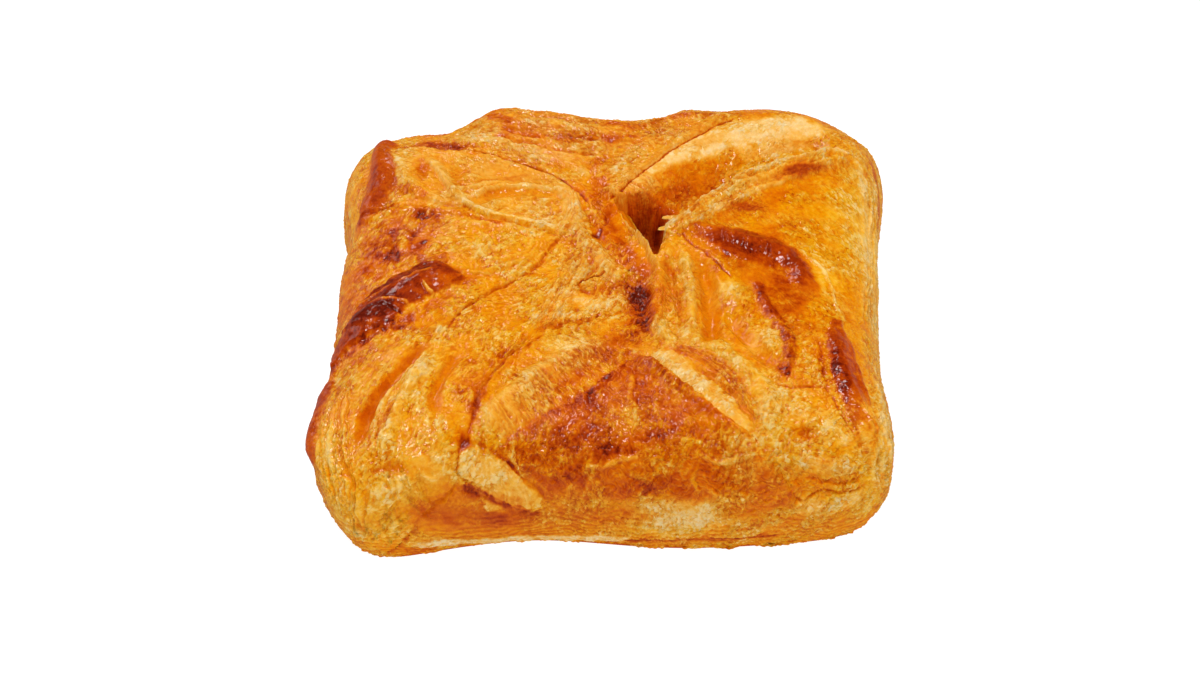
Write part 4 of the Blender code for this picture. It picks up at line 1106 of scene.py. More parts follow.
    def wall_layers(self, sheet: Array, out: Array) -> tuple[Array, Array]:
        """The layers that show on the side walls: a sawtooth of the height above the foot, shaken by noise.

        Args:
            sheet: points (..., 2) in mm.
            out: share of the way from the middle to the foot.

        Returns:
            The height from -0.5 to 0.5, and how much of a wall this is, from 0 to 1.
        """
        above = (1.0 - out) * self.pillow.section[0][-1] * self.pillow.half_width
        wobble = self.noise["layer"].fractal(sheet, 16.0, 4)
        level = above / self.layer_pitch + 3.2 * wobble
        part = level - np.floor(level)
        strength = smoothstep((out - self.wall_starts) / 0.12)
        return (smoothstep(part / 0.75) - smoothstep((part - 0.8) / 0.2)) - 0.5, strength

    def ragged_foot(self, sheet: Array, out: Array) -> Array:
        """How far the lowest layers stick out: one noise for each layer, blended where two meet.

        Args:
            sheet: points (..., 2) in mm.
            out: share of the way from the middle to the foot.

        Returns:
            The push outwards in mm.
        """
        above = (1.0 - out) * self.pillow.section[0][-1] * self.pillow.half_width
        level = above / self.foot_layer
        number = np.floor(level)
        noise = self.noise["flake"]

        def layer(which: Array) -> Array:
            """One layer's outline, from its own stretch of the noise."""
            long_wave = noise.at(sheet[..., 0] / 5.0 + 37.0 * which, sheet[..., 1] / 5.0 + 11.0 * which)
            return long_wave + 0.5 * noise.at(sheet[..., 0] / 1.3 - 19.0 * which, sheet[..., 1] / 1.3)

        push = mix(layer(number), layer(number + 1.0), smoothstep((level - number - 0.7) / 0.3))
        return self.foot_rag * push * (1.0 - smoothstep(above / self.foot_height))

    def cut_layers(self, relief: dict[str, Array], points: Array, steep: Array) -> None:
        """Shows the layers where the dough is steep, as thin pale lines at even heights.

        Args:
            relief: the values from relief, changed in place.
            points: the surface (..., 3) in mm.
            steep: how steep it is against the pillow, from 0 to 1.
        """
        level = points[..., 2] / self.cut_pitch + 2.0 * self.noise["layer"].fractal(points[..., :2], 7.0, 4)
        line = 1.0 - np.abs(2.0 * np.mod(level, 1.0) - 1.0)
        face = np.stack([points[..., 0] + 0.5 * points[..., 1], 1.4 * points[..., 2]], axis=-1)
        bark = self.noise["tone"].fractal(face, 2.6, 4, 0.65)
        relief["tone"] = np.clip(relief["tone"] + steep * (0.08 - 0.2 * line + 0.3 * bark), 0.0, 1.0)
        relief["dry"] = np.clip(relief["dry"] + 0.3 * steep * line, 0.0, 1.0)

    def relief(self, sheet: Array, out: Array) -> dict[str, Array]:
        """Everything that the sheet does at each point.

        Args:
            sheet: points (..., 2) in mm.
            out: share of the way from the middle to the foot.

        Returns:
            rise in mm; tone, dry and lively (how crinkled) from 0 to 1; and slant, the sine of twice
            the grain's angle.
        """
        rise, tone, dry, calm = self.apply_forms(sheet)
        way, heights = self.skin_at(self.noise["grain"].shift(sheet, 15.0, 3.0))
        noise = self.noise
        wrinkle = self.wrinkles(sheet, way)
        film = self.film(sheet)
        big, big_value = noise["blister"].domes(sheet, self.blister_pitch, 0.55, (0.35, 0.75))
        small, _ = noise["tone"].domes(sheet, self.blister_pitch * 0.45, 0.6, (0.35, 0.8))
        flake, edge = self.flakes(sheet)
        lively = smoothstep(noise["dry"].fractal(sheet + 40.0, 8.0, 3) * 1.7 + 0.6) * (1.0 - 0.9 * calm)
        crinkle = noise["grain"].fractal(noise["film"].shift(sheet, 1.6, 0.5), 1.15, 2)
        layer, wall = self.wall_layers(sheet, out)

        fine = heights[..., 0] * (0.7 * wrinkle + 0.7 * (film - 0.25)) * (0.3 + 0.7 * lively)
        fine += heights[..., 1] * (big * lively + 0.5 * small)
        fine += heights[..., 2] * flake
        fine += self.crinkle_height * crinkle * lively
        fine = fine * (1.0 - 0.9 * calm) + wall * self.layer_height * layer
        rise = rise + fine + self.slow_wave * noise["slow"].fractal(sheet, 15.0, 3)

        busy = 1.0 - 0.6 * calm
        mottle = noise["tone"].fractal(sheet, 4.0, 4, 0.65)
        fleck = noise["dry"].fractal(sheet, 1.3, 2)
        depth = smoothstep((tone - 0.4) / 0.3)
        # crest, thread and the small domes' tops are made paler and drier as pale: painted highlights, partly the paler
        # stretched film.
        crest = smoothstep((wrinkle - 0.3) / 0.5) * smoothstep(heights[..., 0] / 0.4)
        thread = smoothstep((film - 0.4) / 0.3)
        pale = np.clip((0.5 * thread + 0.7 * crest) * (0.6 + 1.2 * fleck) + 0.5 * small ** 2, 0.0, 1.0)
        pale *= 0.2 + 0.8 * lively
        tone = tone + busy * ((0.11 + 0.06 * depth) * mottle + 0.07 * fleck)
        # The last term paints shade into the fine hollows and light onto the fine crests.
        tone += busy * (mix(0.085 - 0.24 * pale, 0.05 - 0.18 * pale, depth) - 0.2 * np.clip(fine / 0.3, -1.0, 1.0))
        tone += 0.05 * depth * (big * big_value) - 0.20 * busy * edge * heights[..., 2] / 0.3 - 0.06 * wall * layer
        # pale also whitens the dry, so the painted highlights look whitish.
        dry = dry + busy * (0.2 * noise["dry"].fractal(sheet, 6.0, 3) + 0.3 * pale * (1.0 - 0.4 * depth))
        dry += 0.3 * busy * edge * heights[..., 2] / 0.3 + 0.1 * wall * layer
        rise = rise * smoothstep((1.0 - out) / self.skirt)
        return {"rise": rise, "tone": np.clip(tone, 0.0, 1.0), "dry": np.clip(dry, 0.0, 1.0),
                "lively": lively, "slant": way[..., 1]}


@dataclass
class Shape:
    """A mesh before Blender has it: points in mm, faces by number of corners, values and map places."""

    vertices: Array
    faces: list[Array]
    values: dict[str, Array]
    places: Array
    normals: Array | None = None


def quads_between(a: Array, b: Array, c: Array, d: Array) -> Array:
    """Four-cornered faces (n, 4) from four index arrays of one shape."""
    return np.stack([a, b, c, d], axis=-1).reshape(-1, 4)


def fan(centre: int, rim: Array) -> Array:
    """Triangles (n, 3) from one vertex to each pair of neighbours along a rim."""
    return np.stack([np.full(len(rim) - 1, centre), rim[:-1], rim[1:]], axis=-1)


@dataclass(frozen=True)
class Seam:
    """A seam from the middle to a corner: pairs of the share of the way out and the place round there."""

    stops: Path

    def at(self, out: Array) -> Array:
        """The place round the square at each share of the way out, by a cosine between the stops."""
        outs, places = (np.array(values, dtype=float) for values in zip(*self.stops))
        number = np.clip(np.searchsorted(outs, out, side="right") - 1, 0, len(outs) - 2)
        share = smoothstep((out - outs[number]) / (outs[number + 1] - outs[number]))
        return mix(places[number], places[number + 1], share)


class Corner(Enum):
    """The seams that part the flaps, from the front left corner anticlockwise."""

    FRONT_LEFT = Seam(((0.0, -0.2), (0.2, 0.55), (0.36, 0.42), (0.48, 0.36), (0.62, 0.46), (0.75, 0.45), (1.0, 0.22)))
    FRONT_RIGHT = Seam(((0.0, 1.7), (0.25, 1.35), (0.45, 1.6), (0.65, 1.62), (0.78, 1.75), (1.0, 1.9)))
    BACK_RIGHT = Seam(((0.0, 3.9), (0.2, 3.9), (0.4, 3.95), (0.6, 3.95), (0.8, 3.98), (1.0, 4.0)))
    BACK_LEFT = Seam(((0.0, 5.9), (0.2, 5.7), (0.4, 5.55), (0.5, 5.75), (0.7, 6.0), (1.0, 6.05)))


class SubAssembly:
    """Something that builds its own shapes and dresses them as pieces of the pastry."""

    def shapes(self) -> list[tuple[str, Shape]]:
        """Each piece's name and its shape in mm."""
        raise NotImplementedError

    @staticmethod
    def dress(shapes: list[tuple[str, Shape]], shift: Array, material: bpy.types.Material) -> None:
        """Turns shapes into pieces with their material in a slot and their body, and hides the node's own part.

        Args:
            shapes: each piece's name and shape.
            shift: how far they are moved, in mm.
            material: what they are made of.
        """
        for name, shape in shapes:
            piece = mesh_object(name, shape, shift)
            piece.data.materials.append(material)
            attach(piece, BODY)
            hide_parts(NODE)
            log.info("%s: %d faces", name, len(piece.data.polygons))


@dataclass
class Flap(SubAssembly):
    """One flap between two seams, cut into closed wedges small enough for one mesh each."""

    name: str
    start: Corner
    stop: Corner
    sheet: DoughSheet
    wedges: int = 2
    rings: int = 400
    across: int = 240
    inner_ring: float = 0.004
    lip_share: float = 0.985       # where the hidden floor starts, as a share of the foot's distance
    lip_height: float = 1.2        # mm of the hidden floor above the tray
    core_share: float = 0.6        # share of the rings whose seam walls drop straight to the floor
    steep_starts: float = 0.72     # cosine to the pillow's own normal below which the cut layers show
    steep_span: float = 0.4        # how much further until they show in full
    map_shown: float = 0.94        # share of the map that the outer surface takes
    map_margin: float = 0.01
    map_hidden: float = 0.98       # where on the map the hidden faces lie

    def grid(self, number: int) -> tuple[Array, Array, dict[str, Array], Array]:
        """The outer surface of a wedge.

        One more column is worked out past each side, so that the normals, from the cross product of
        the steps outwards and across, agree with the next wedge's.

        Args:
            number: which wedge, from the start.

        Returns:
            Points (rings, across, 3) in mm, their normals, the relief's values, and the sheet places.
        """
        out = np.linspace(self.inner_ring, 1.0, self.rings)[:, None]
        first = self.start.value.at(out)
        last = self.stop.value.at(out)
        last = np.where(last < first, last + 8.0, last)
        step = 1.0 / (self.across - 1)
        share = (number + np.linspace(-step, 1.0 + step, self.across + 2)[None, :]) / self.wedges
        round_ = mix(first, last, share)
        out = np.broadcast_to(out, round_.shape)
        points, places = self.sheet.pillow.surface(out, round_)
        relief = self.sheet.relief(places, out)
        smooth = self.sheet.pillow.normals(out, round_)
        points = points + smooth * relief["rise"][..., None]
        points[..., :2] *= 1.0 + self.sheet.ragged_foot(places, out)[..., None] / self.sheet.pillow.half_width
        points[..., 2] = np.maximum(points[..., 2], 0.0)
        normals = np.cross(np.gradient(points, axis=0), np.gradient(points, axis=1))
        normals /= np.maximum(np.linalg.norm(normals, axis=-1, keepdims=True), 1e-12)
        agree = np.sum(normals * smooth, axis=-1)
        self.sheet.cut_layers(relief, points, smoothstep((self.steep_starts - agree) / self.steep_span))
        inner = slice(1, -1)
        relief = {key: value[:, inner] for key, value in relief.items()}
        return points[:, inner], normals[:, inner], relief, places[:, inner]

    def shapes(self) -> list[tuple[str, Shape]]:
        """The wedges, each with its name."""
        return [(f"{self.name}_{number + 1}", self.build(number)) for number in range(self.wedges)]

    def build(self, number: int) -> Shape:
        """A closed wedge: the outer grid, a pole in the middle, two seam walls and a floor.

        Inside the shoulder the walls drop straight from the seams to the floor; past it they fan out
        from a lip just inside the foot. The floor fans out from a low pole under the middle.

        Args:
            number: which wedge, from the start.

        Returns:
            The wedge's shape in mm.
        """
        points, normals, relief, places = self.grid(number)
        rings, across = points.shape[:2]
        core = int(rings * self.core_share)
        pole = points[0].mean(axis=0)
        level = np.array([0.0, 0.0, self.lip_height])
        lip = points[-1] * np.array([self.lip_share, self.lip_share, 0.0]) + level
        below = points[:core, [0, -1]].swapaxes(0, 1).reshape(-1, 3) * np.array([1.0, 1.0, 0.0]) + level
        vertices = np.vstack([points.reshape(-1, 3), lip, below, pole, pole * np.array([1.0, 1.0, 0.0]) + level])
        down = np.array([0.0, 0.0, -1.0])
        normals = np.vstack([normals.reshape(-1, 3), np.tile(down, (across + 2 * core, 1)), -down, down])
        index = np.arange(rings * across).reshape(rings, across)
        lip_index = rings * across + np.arange(across)
        top, low = len(vertices) - 2, len(vertices) - 1

        outer = quads_between(index[:-1, :-1], index[1:, :-1], index[1:, 1:], index[:-1, 1:])
        hem = quads_between(index[-1, :-1], lip_index[:-1], lip_index[1:], index[-1, 1:])
        faces = [outer, hem, fan(top, index[0])]
        feet = []
        for side, column in enumerate((0, -1)):
            seam = np.concatenate([[top], index[:core, column]])
            foot = np.concatenate([[low], rings * across + across + side * core + np.arange(core)])
            wall = quads_between(foot[:-1], foot[1:], seam[1:], seam[:-1])
            tail = np.concatenate([index[core - 1:, column][::-1], foot[-1:]])
            faces += [wall[:, ::-1] if side else wall, fan(lip_index[column], tail[::-1] if side else tail)]
            feet.append(foot[1:])
        faces.append(fan(low, np.concatenate([feet[0], lip_index, feet[1][::-1]])[::-1]))
        values = {}
        for key in ("tone", "dry", "lively", "slant"):
            inner = relief[key]
            values[key] = np.concatenate([inner.ravel(), inner[-1], np.full(2 * core + 2, inner[0].mean())])
        across_share, ring_share = np.meshgrid(np.linspace(0.0, 1.0, across), np.linspace(0.0, 1.0, rings))
        shown = np.stack([across_share, ring_share], axis=-1).reshape(-1, 2) * self.map_shown + self.map_margin
        hidden = np.full((len(vertices) - rings * across, 2), self.map_hidden)
        return Shape(vertices, faces, values, np.vstack([shown, hidden]), normals)


@dataclass(frozen=True)
class LooseLeaf:
    """A thin leaf of dough that stands off the rest: a patch between two edges, thin at its rim.

    start and stop are its two long edges, each from its root to its tip, as points in mm. bulge
    lifts its middle, and ragged breaks its rim, in mm.
    """

    start: tuple[Triple, ...]
    stop: tuple[Triple, ...]
    thickness: float = 0.4
    bulge: float = 0.5
    ragged: float = 0.4
    tone: float = 0.3
    rim_tone: float = 0.2
    dry: float = 0.4
    along: int = 60
    across: int = 30

    def build(self, sheet: DoughSheet) -> Shape:
        """The leaf as a closed lens: two grids that meet at the rim.

        Args:
            sheet: the dough, for its noises.

        Returns:
            The leaf's shape in mm.
        """
        t = np.linspace(0.0, 1.0, self.along)
        s = np.linspace(0.0, 1.0, self.across)
        edges = []
        for points in (self.start, self.stop):
            knots = np.array(points, dtype=float)
            places = np.linspace(0.0, 1.0, len(knots))
            edges.append(np.stack([np.interp(t, places, knots[:, axis]) for axis in range(3)], axis=-1))
        middle = mix(edges[0][:, None], edges[1][:, None], s[None, :, None])
        plan = middle[..., :2] * 1.7 + 9.0
        rim = np.minimum(np.minimum(t, 1.0 - t)[:, None] * 2.5, np.minimum(s, 1.0 - s)[None, :])
        fine = sheet.noise["film"].fractal(plan, 5.0, 4, 0.6)
        out = sheet.noise["flake"].fractal(plan, 3.0, 4, 0.6) * self.ragged * (1.0 - smoothstep(rim / 0.25))
        side = (edges[1] - edges[0])[:, None]
        side = side / np.maximum(np.linalg.norm(side, axis=-1, keepdims=True), 1e-9)
        normal = np.cross(np.gradient(middle, axis=0), np.gradient(middle, axis=1))
        normal /= np.maximum(np.linalg.norm(normal, axis=-1, keepdims=True), 1e-9)
        dome = smoothstep(rim / 0.5)
        middle = middle + side * out[..., None] + normal * (self.bulge * dome + 0.25 * fine)[..., None]
        half = self.thickness * (0.1 + 0.4 * smoothstep(rim / 0.12))[..., None]
        upper, lower = middle + normal * half, middle - normal * half
        count = self.along * self.across
        index = np.arange(count).reshape(self.along, self.across)
        top = quads_between(index[:-1, :-1], index[1:, :-1], index[1:, 1:], index[:-1, 1:])
        border = np.concatenate([index[0, :-1], index[:-1, -1], index[-1, :0:-1], index[:0:-1, 0]])
        after = np.roll(border, -1)
        walls = quads_between(border, after, after + count, border + count)
        tone = mix(self.rim_tone, self.tone, smoothstep(rim / 0.2)) + 0.12 * fine
        values = {"tone": np.clip(tone, 0.0, 1.0), "dry": np.clip(self.dry + 0.2 * fine, 0.0, 1.0),
                  "lively": np.full(tone.shape, 0.6), "slant": np.zeros(tone.shape)}
        places = np.stack(np.broadcast_arrays(t[:, None], s[None, :]), axis=-1).reshape(-1, 2)
        return Shape(np.vstack([upper.reshape(-1, 3), lower.reshape(-1, 3)]), [top, top[:, ::-1] + count, walls],
                     {key: np.tile(value.ravel(), 2) for key, value in values.items()},
                     np.vstack([places * 0.48, places * 0.48 + 0.5]))


@dataclass(frozen=True)
class Shred(LooseLeaf):
    """A short torn strip, paler and more ragged."""

    thickness: float = 0.3
    bulge: float = 0.2
    ragged: float = 0.5
    tone: float = 0.26
    rim_tone: float = 0.14
    dry: float = 0.5
    along: int = 40
    across: int = 20


@dataclass
class LooseLeaves(SubAssembly):
    """The leaves that stand off the pastry: one across the cavity, and two shreds at its torn edge."""

    sheet: DoughSheet
    leaves: dict[str, LooseLeaf] = field(default_factory=lambda: {
        "centre_leaf": LooseLeaf(((1.2, 21, 25.5), (4, 17.5, 23.5), (8.2, 12, 19.5)),
                                 ((4.2, 26.5, 24.5), (7.6, 20.5, 21.5), (11.6, 13, 17)),
                                 tone=0.5, rim_tone=0.16, dry=0.1, bulge=0.9),
        "low_shred": Shred(((17.6, 9.4, 29), (14.6, 9.4, 29.8), (12, 9.9, 29.6)),
                           ((18, 11.8, 29.2), (14.9, 11.3, 30), (12.3, 10.7, 29.7))),
        "upper_shred": Shred(((18, 12, 29.6), (15.4, 12.4, 30.2), (12.8, 12.9, 30.1)),
                             ((18.6, 14.2, 29.6), (15.8, 13.9, 30.4), (13.1, 13.6, 30.2))),
    })

    def shapes(self) -> list[tuple[str, Shape]]:
        """Each leaf's name and shape."""
        return [(name, leaf.build(self.sheet)) for name, leaf in self.leaves.items()]


def mesh_object(name: str, shape: Shape, shift: Array) -> bpy.types.Object:
    """A mesh object at the origin, in metres, with its values as point attributes and its own map.

    Args:
        name: the piece's name.
        shape: what it is made of, in mm.
        shift: how far it is moved, in mm.

    Returns:
        The object, linked and smooth shaded.
    """
    mesh = bpy.data.meshes.new(name)
    loops = np.concatenate([group.ravel() for group in shape.faces]).astype(np.int32)
    sizes = np.concatenate([np.full(len(group), group.shape[1]) for group in shape.faces])
    starts = np.concatenate([[0], np.cumsum(sizes)[:-1]]).astype(np.int32)
    mesh.vertices.add(len(shape.vertices))
    mesh.vertices.foreach_set("co", ((shape.vertices + shift) * MM).astype(np.float32).ravel())
    mesh.loops.add(len(loops))
    mesh.loops.foreach_set("vertex_index", loops)
    mesh.polygons.add(len(sizes))
    mesh.polygons.foreach_set("loop_start", starts)
    mesh.update(calc_edges=True)
    mesh.shade_smooth()
    mesh.uv_layers.new(name=MAP).data.foreach_set("uv", shape.places[loops].astype(np.float32).ravel())
    for key, value in shape.values.items():
        mesh.attributes.new(key, "FLOAT", "POINT").data.foreach_set("value", value.astype(np.float32))
    if shape.normals is not None:
        mesh.normals_split_custom_set_from_vertices(shape.normals.astype(np.float32))
    piece = bpy.data.objects.new(name, mesh)
    bpy.context.scene.collection.objects.link(piece)
    return piece


class Tree:
    """A node tree being wired: adds nodes and sets or links their inputs by name."""

    def __init__(self, tree: bpy.types.NodeTree) -> None:
        """Takes the node tree of a material, a world or a group."""
        self.tree = tree

    def feed(self, node: bpy.types.Node, values: dict[str | int, object]) -> None:
        """Sets a node's inputs, by name or place, and links those whose value is a socket.

        Args:
            node: the node.
            values: the value or socket for each input.
        """
        for key, value in values.items():
            if isinstance(value, bpy.types.NodeSocket):
                self.tree.links.new(value, node.inputs[key])
            else:
                node.inputs[key].default_value = value

    def add(self, kind: str, settings: dict | None = None, **inputs: object) -> bpy.types.Node:
        """A node with its settings and its inputs, each a value or a socket to link.

        Args:
            kind: the node type's name after ShaderNode.
            settings: attributes of the node.
            **inputs: input names, with underscores for spaces, or i0, i1 for a place in the list.

        Returns:
            The node.
        """
        node = self.tree.nodes.new("ShaderNode" + kind)
        for key, value in (settings or {}).items():
            setattr(node, key, value)
        self.feed(node, {int(key[1:]) if key[1:].isdigit() else key.replace("_", " "): value
                         for key, value in inputs.items()})
        return node

    def math(self, operation: str, a: object, b: object = 0.0, clamp: bool = False) -> bpy.types.NodeSocket:
        """The result of a Math node."""
        return self.add("Math", {"operation": operation, "use_clamp": clamp}, i0=a, i1=b).outputs[0]

    def vector(self, operation: str, a: object, b: object) -> bpy.types.NodeSocket:
        """The result of a Vector Math node."""
        node = self.add("VectorMath", {"operation": operation}, i0=a, i1=b)
        return node.outputs["Value" if operation == "DOT_PRODUCT" else "Vector"]

    def soften(self, value: object, low: float, high: float, start: float = 0.0,
               stop: float = 1.0) -> bpy.types.NodeSocket:
        """A smooth step from start, where the value is low, to stop, where it is high."""
        return self.add("MapRange", {"interpolation_type": "SMOOTHSTEP"}, Value=value, From_Min=low, From_Max=high,
                        To_Min=start, To_Max=stop).outputs["Result"]

    def noise(self, vector: object, scale: float, detail: float, roughness: float = 0.5) -> bpy.types.NodeSocket:
        """A noise texture's value."""
        return self.add("TexNoise", Vector=vector, Scale=scale, Detail=detail, Roughness=roughness).outputs["Fac"]

    def ramp(self, factor: object, stops: tuple[tuple[float, Triple], ...]) -> bpy.types.NodeSocket:
        """A colour ramp through stops of place and linear colour."""
        node = self.add("ValToRGB", Fac=factor)
        elements = node.color_ramp.elements
        while len(elements) < len(stops):
            elements.new(0.5)
        for element, (place, colour) in zip(elements, stops):
            element.position = place
            element.color = (*colour, 1.0)
        return node.outputs["Color"]


def linear(red: float, green: float, blue: float) -> Triple:
    """An sRGB colour from 0 to 255 as linear values."""
    values = np.array([red, green, blue]) / 255.0
    low, high = values / 12.92, ((values + 0.055) / 1.055) ** 2.4
    return tuple(float(v) for v in np.where(values <= 0.04045, low, high))


def start_group(name: str, inputs: dict[str, str],
                outputs: dict[str, str]) -> tuple[bpy.types.NodeTree, Tree, bpy.types.Node, bpy.types.Node]:
    """A shader node group with its named sockets.

    Args:
        name: the group's name.
        inputs: the kind (Float, Vector or Color) of each input.
        outputs: the kind of each output.

    Returns:
        The group, its wiring helper, its input node and its output node.
    """
    group = bpy.data.node_groups.new(name, "ShaderNodeTree")
    for direction, sockets in (("INPUT", inputs), ("OUTPUT", outputs)):
        for socket, kind in sockets.items():
            group.interface.new_socket(socket, in_out=direction, socket_type="NodeSocket" + kind)
    return group, Tree(group), group.nodes.new("NodeGroupInput"), group.nodes.new("NodeGroupOutput")


@dataclass(frozen=True)
class Palette:
    """The colours that butter-glazed and floury dough take as they bake, by share of browning."""

    buttery: tuple = (
        (0.0, (252, 200, 84)), (0.2, (244, 174, 26)), (0.38, (236, 147, 0)), (0.52, (224, 117, 0)),
        (0.66, (206, 88, 0)), (0.8, (180, 60, 0)), (0.92, (140, 34, 0)), (1.0, (96, 18, 2)),
    )
    floury: tuple = (
        (0.0, (250, 216, 156)), (0.2, (244, 188, 98)), (0.38, (234, 158, 56)), (0.52, (218, 128, 36)),
        (0.66, (200, 94, 22)), (0.8, (174, 68, 22)), (0.92, (142, 48, 24)), (1.0, (104, 28, 16)),
    )

    @staticmethod
    def stops(colours: tuple) -> tuple:
        """A ramp's stops in linear colour."""
        return tuple((place, linear(*colour)) for place, colour in colours)


@dataclass(frozen=True)
class CrustFinish:
    """A finish of baked dough.

    gloss is the coat's weight on pale dough and dark_gloss on the brownest, roughness the dough's
    own, bump the depth of the finest skin in metres, and mottle how much the browning varies
    between grid points. facet is how much paler the high side of a flake is, and painted_glint how
    much paler a flake painted as a glint is.
    """

    name: str
    roughness: float = 0.44
    gloss: float = 0.62
    dark_gloss: float = 0.7
    specular: float = 0.0
    coat_roughness: float = 0.13
    coat_ior: float = 1.46         # butter
    bump: float = 0.0004
    flake_turn: float = 0.85       # radians, to either side of the object's own x
    flake_cells: Triple = (700.0, 1700.0, 1100.0)   # to the metre, each way
    wander: float = 0.0022         # metres that the flakes' edges are pushed about
    mottle: float = 0.16
    facet: float = 0.56
    # how much paler a flake painted as a glint is
    painted_glint: float = 0.16
    subsurface: float = 0.12
    subsurface_radius: Triple = (1.0, 0.45, 0.12)
    subsurface_scale: float = 0.0009
    palette: Palette = field(default_factory=Palette)

    def tone_group(self) -> bpy.types.NodeTree:
        """The group that turns browning and dryness into a colour. It is built once and shared."""
        name = "dough_tone"
        if name in bpy.data.node_groups:
            return bpy.data.node_groups[name]
        group, tree, given, result = start_group(name, {"Tone": "Float", "Dry": "Float"}, {"Colour": "Color"})
        buttery, floury = (tree.ramp(given.outputs["Tone"], Palette.stops(colours))
                           for colours in (self.palette.buttery, self.palette.floury))
        colour = tree.add("Mix", {"data_type": "RGBA"}, i0=given.outputs["Dry"], i6=buttery, i7=floury).outputs[2]
        tree.feed(result, {"Colour": colour})
        return group

    def skin_group(self) -> bpy.types.NodeTree:
        """The group that makes the finest skin: flakes along two slants, and creases. Built once and shared.

        Each flake is a cell of a stretched Voronoi texture, tilted its own way, so it ends in a crisp
        edge where the next one starts. Its outputs are a height, the flakes' tilt round 0, a mask of
        the flakes that are painted as glints, and a mottle round 0.

        Returns:
            The group.
        """
        name = "dough_skin"
        if name in bpy.data.node_groups:
            return bpy.data.node_groups[name]
        group, tree, given, result = start_group(
            name, {"Place": "Vector", "Slant": "Float"},
            {"Height": "Float", "Tilt": "Float", "PaintedGlint": "Float", "Mottle": "Float"})
        place = given.outputs["Place"]
        half = (0.5, 0.5, 0.5)
        wander = tree.add("TexNoise", Vector=place, Scale=500.0, Detail=2.0).outputs["Color"]
        wander = tree.vector("MULTIPLY", tree.vector("SUBTRACT", wander, half), (self.wander,) * 3)
        bent = tree.vector("ADD", place, wander)
        tilts, painted_glints = [], []
        for turn in (-self.flake_turn, self.flake_turn):
            turned = tree.add("VectorRotate", {"rotation_type": "Z_AXIS"}, Vector=bent, Angle=turn).outputs["Vector"]
            cells = tree.vector("MULTIPLY", turned, self.flake_cells)
            flake = tree.add("TexVoronoi", Vector=cells, Scale=1.0).outputs
            lean = tree.vector("SUBTRACT", flake["Color"], half)
            tilts.append(tree.vector("DOT_PRODUCT", tree.vector("SUBTRACT", cells, flake["Position"]), lean))
            # Flakes whose random green is high become painted glints.
            painted_glints.append(tree.soften(tree.add("SeparateColor", Color=flake["Color"]).outputs["Green"], 0.62, 0.75))
        steep = tree.math("ADD", tree.math("MULTIPLY", given.outputs["Slant"], 0.9), 0.5, clamp=True)
        flat = tree.math("SUBTRACT", 1.0, steep)
        tilt, painted_glint = (tree.math("ADD", tree.math("MULTIPLY", pair[0], steep), tree.math("MULTIPLY", pair[1], flat))
                      for pair in (tilts, painted_glints))
        patches = tree.soften(tree.noise(place, 260.0, 3.0, 0.6), 0.42, 0.6)
        creases = tree.math("ABSOLUTE", tree.math("SUBTRACT", tree.noise(place, 900.0, 3.0, 0.6), 0.5))
        fibres = tree.noise(place, 2400.0, 3.0, 0.55)
        height = tree.math("SUBTRACT", tree.math("MULTIPLY", fibres, 0.4), tree.math("MULTIPLY", creases, 1.6))
        mottle = tree.math("ADD", tree.noise(place, 420.0, 5.0, 0.62), tree.noise(place, 1500.0, 3.0, 0.6))
        tree.feed(result, {
            "Height": tree.math("ADD", height, tree.math("MULTIPLY", tilt, 0.9)),
            "Tilt": tilt,
            "PaintedGlint": tree.math("MULTIPLY", painted_glint, patches),
            "Mottle": tree.math("SUBTRACT", mottle, 1.0),
        })
        return group

    def material(self) -> bpy.types.Material:
        """The finish as a material that reads the piece's tone, dry, slant and lively attributes."""
        material = bpy.data.materials.new(self.name)
        material.use_nodes = True
        tree = Tree(material.node_tree)
        place = tree.add("TexCoord").outputs["Object"]
        tone, dry, slant, lively = (tree.add("Attribute", {"attribute_name": key}).outputs["Fac"]
                                    for key in ("tone", "dry", "slant", "lively"))
        skin = tree.add("Group", {"node_tree": self.skin_group()}, Place=place, Slant=slant).outputs
        calmer = tree.soften(tone, 0.42, 0.72, 1.0, 0.4)
        busy = tree.math("MULTIPLY", tree.math("ADD", tree.math("MULTIPLY", lively, 0.8), 0.2), calmer)
        # The flakes painted as pale, whitish glints, fewer on dark dough.
        painted_glint = tree.math("MULTIPLY", skin["PaintedGlint"], busy)
        paler = tree.math("ADD", tree.math("MULTIPLY", tree.math("MULTIPLY", skin["Tilt"], busy), self.facet),
                          tree.math("MULTIPLY", painted_glint, self.painted_glint))
        speckled = tree.math("ADD", tone, tree.math("MULTIPLY", skin["Mottle"], self.mottle))
        speckled = tree.math("SUBTRACT", speckled, paler, clamp=True)
        floury = tree.math("ADD", dry, tree.math("MULTIPLY", painted_glint, 0.35), clamp=True)
        rough = tree.math("ADD", self.roughness - 0.05, tree.math("MULTIPLY", dry, 0.18))
        glaze = tree.math("SUBTRACT", 1.0, tree.math("MULTIPLY", dry, 0.5))
        height = tree.math("MULTIPLY", skin["Height"], tree.math("ADD", lively, 0.35))
        tree.feed(material.node_tree.nodes["Principled BSDF"], {
            "Base Color": tree.add("Group", {"node_tree": self.tone_group()}, Tone=speckled, Dry=floury).outputs[0],
            "Roughness": tree.math("ADD", rough, tree.math("MULTIPLY", skin["Mottle"], 0.15)),
            "Normal": tree.add("Bump", Strength=1.0, Distance=self.bump, Height=height).outputs["Normal"],
            "Specular IOR Level": self.specular,
            "Coat Weight": tree.math("MULTIPLY", glaze, tree.soften(tone, 0.6, 0.95, self.gloss, self.dark_gloss)),
            "Coat Roughness": self.coat_roughness,
            "Coat IOR": self.coat_ior,
            "Subsurface Weight": self.subsurface,
            "Subsurface Radius": self.subsurface_radius,
            "Subsurface Scale": self.subsurface_scale,
        })
        return material


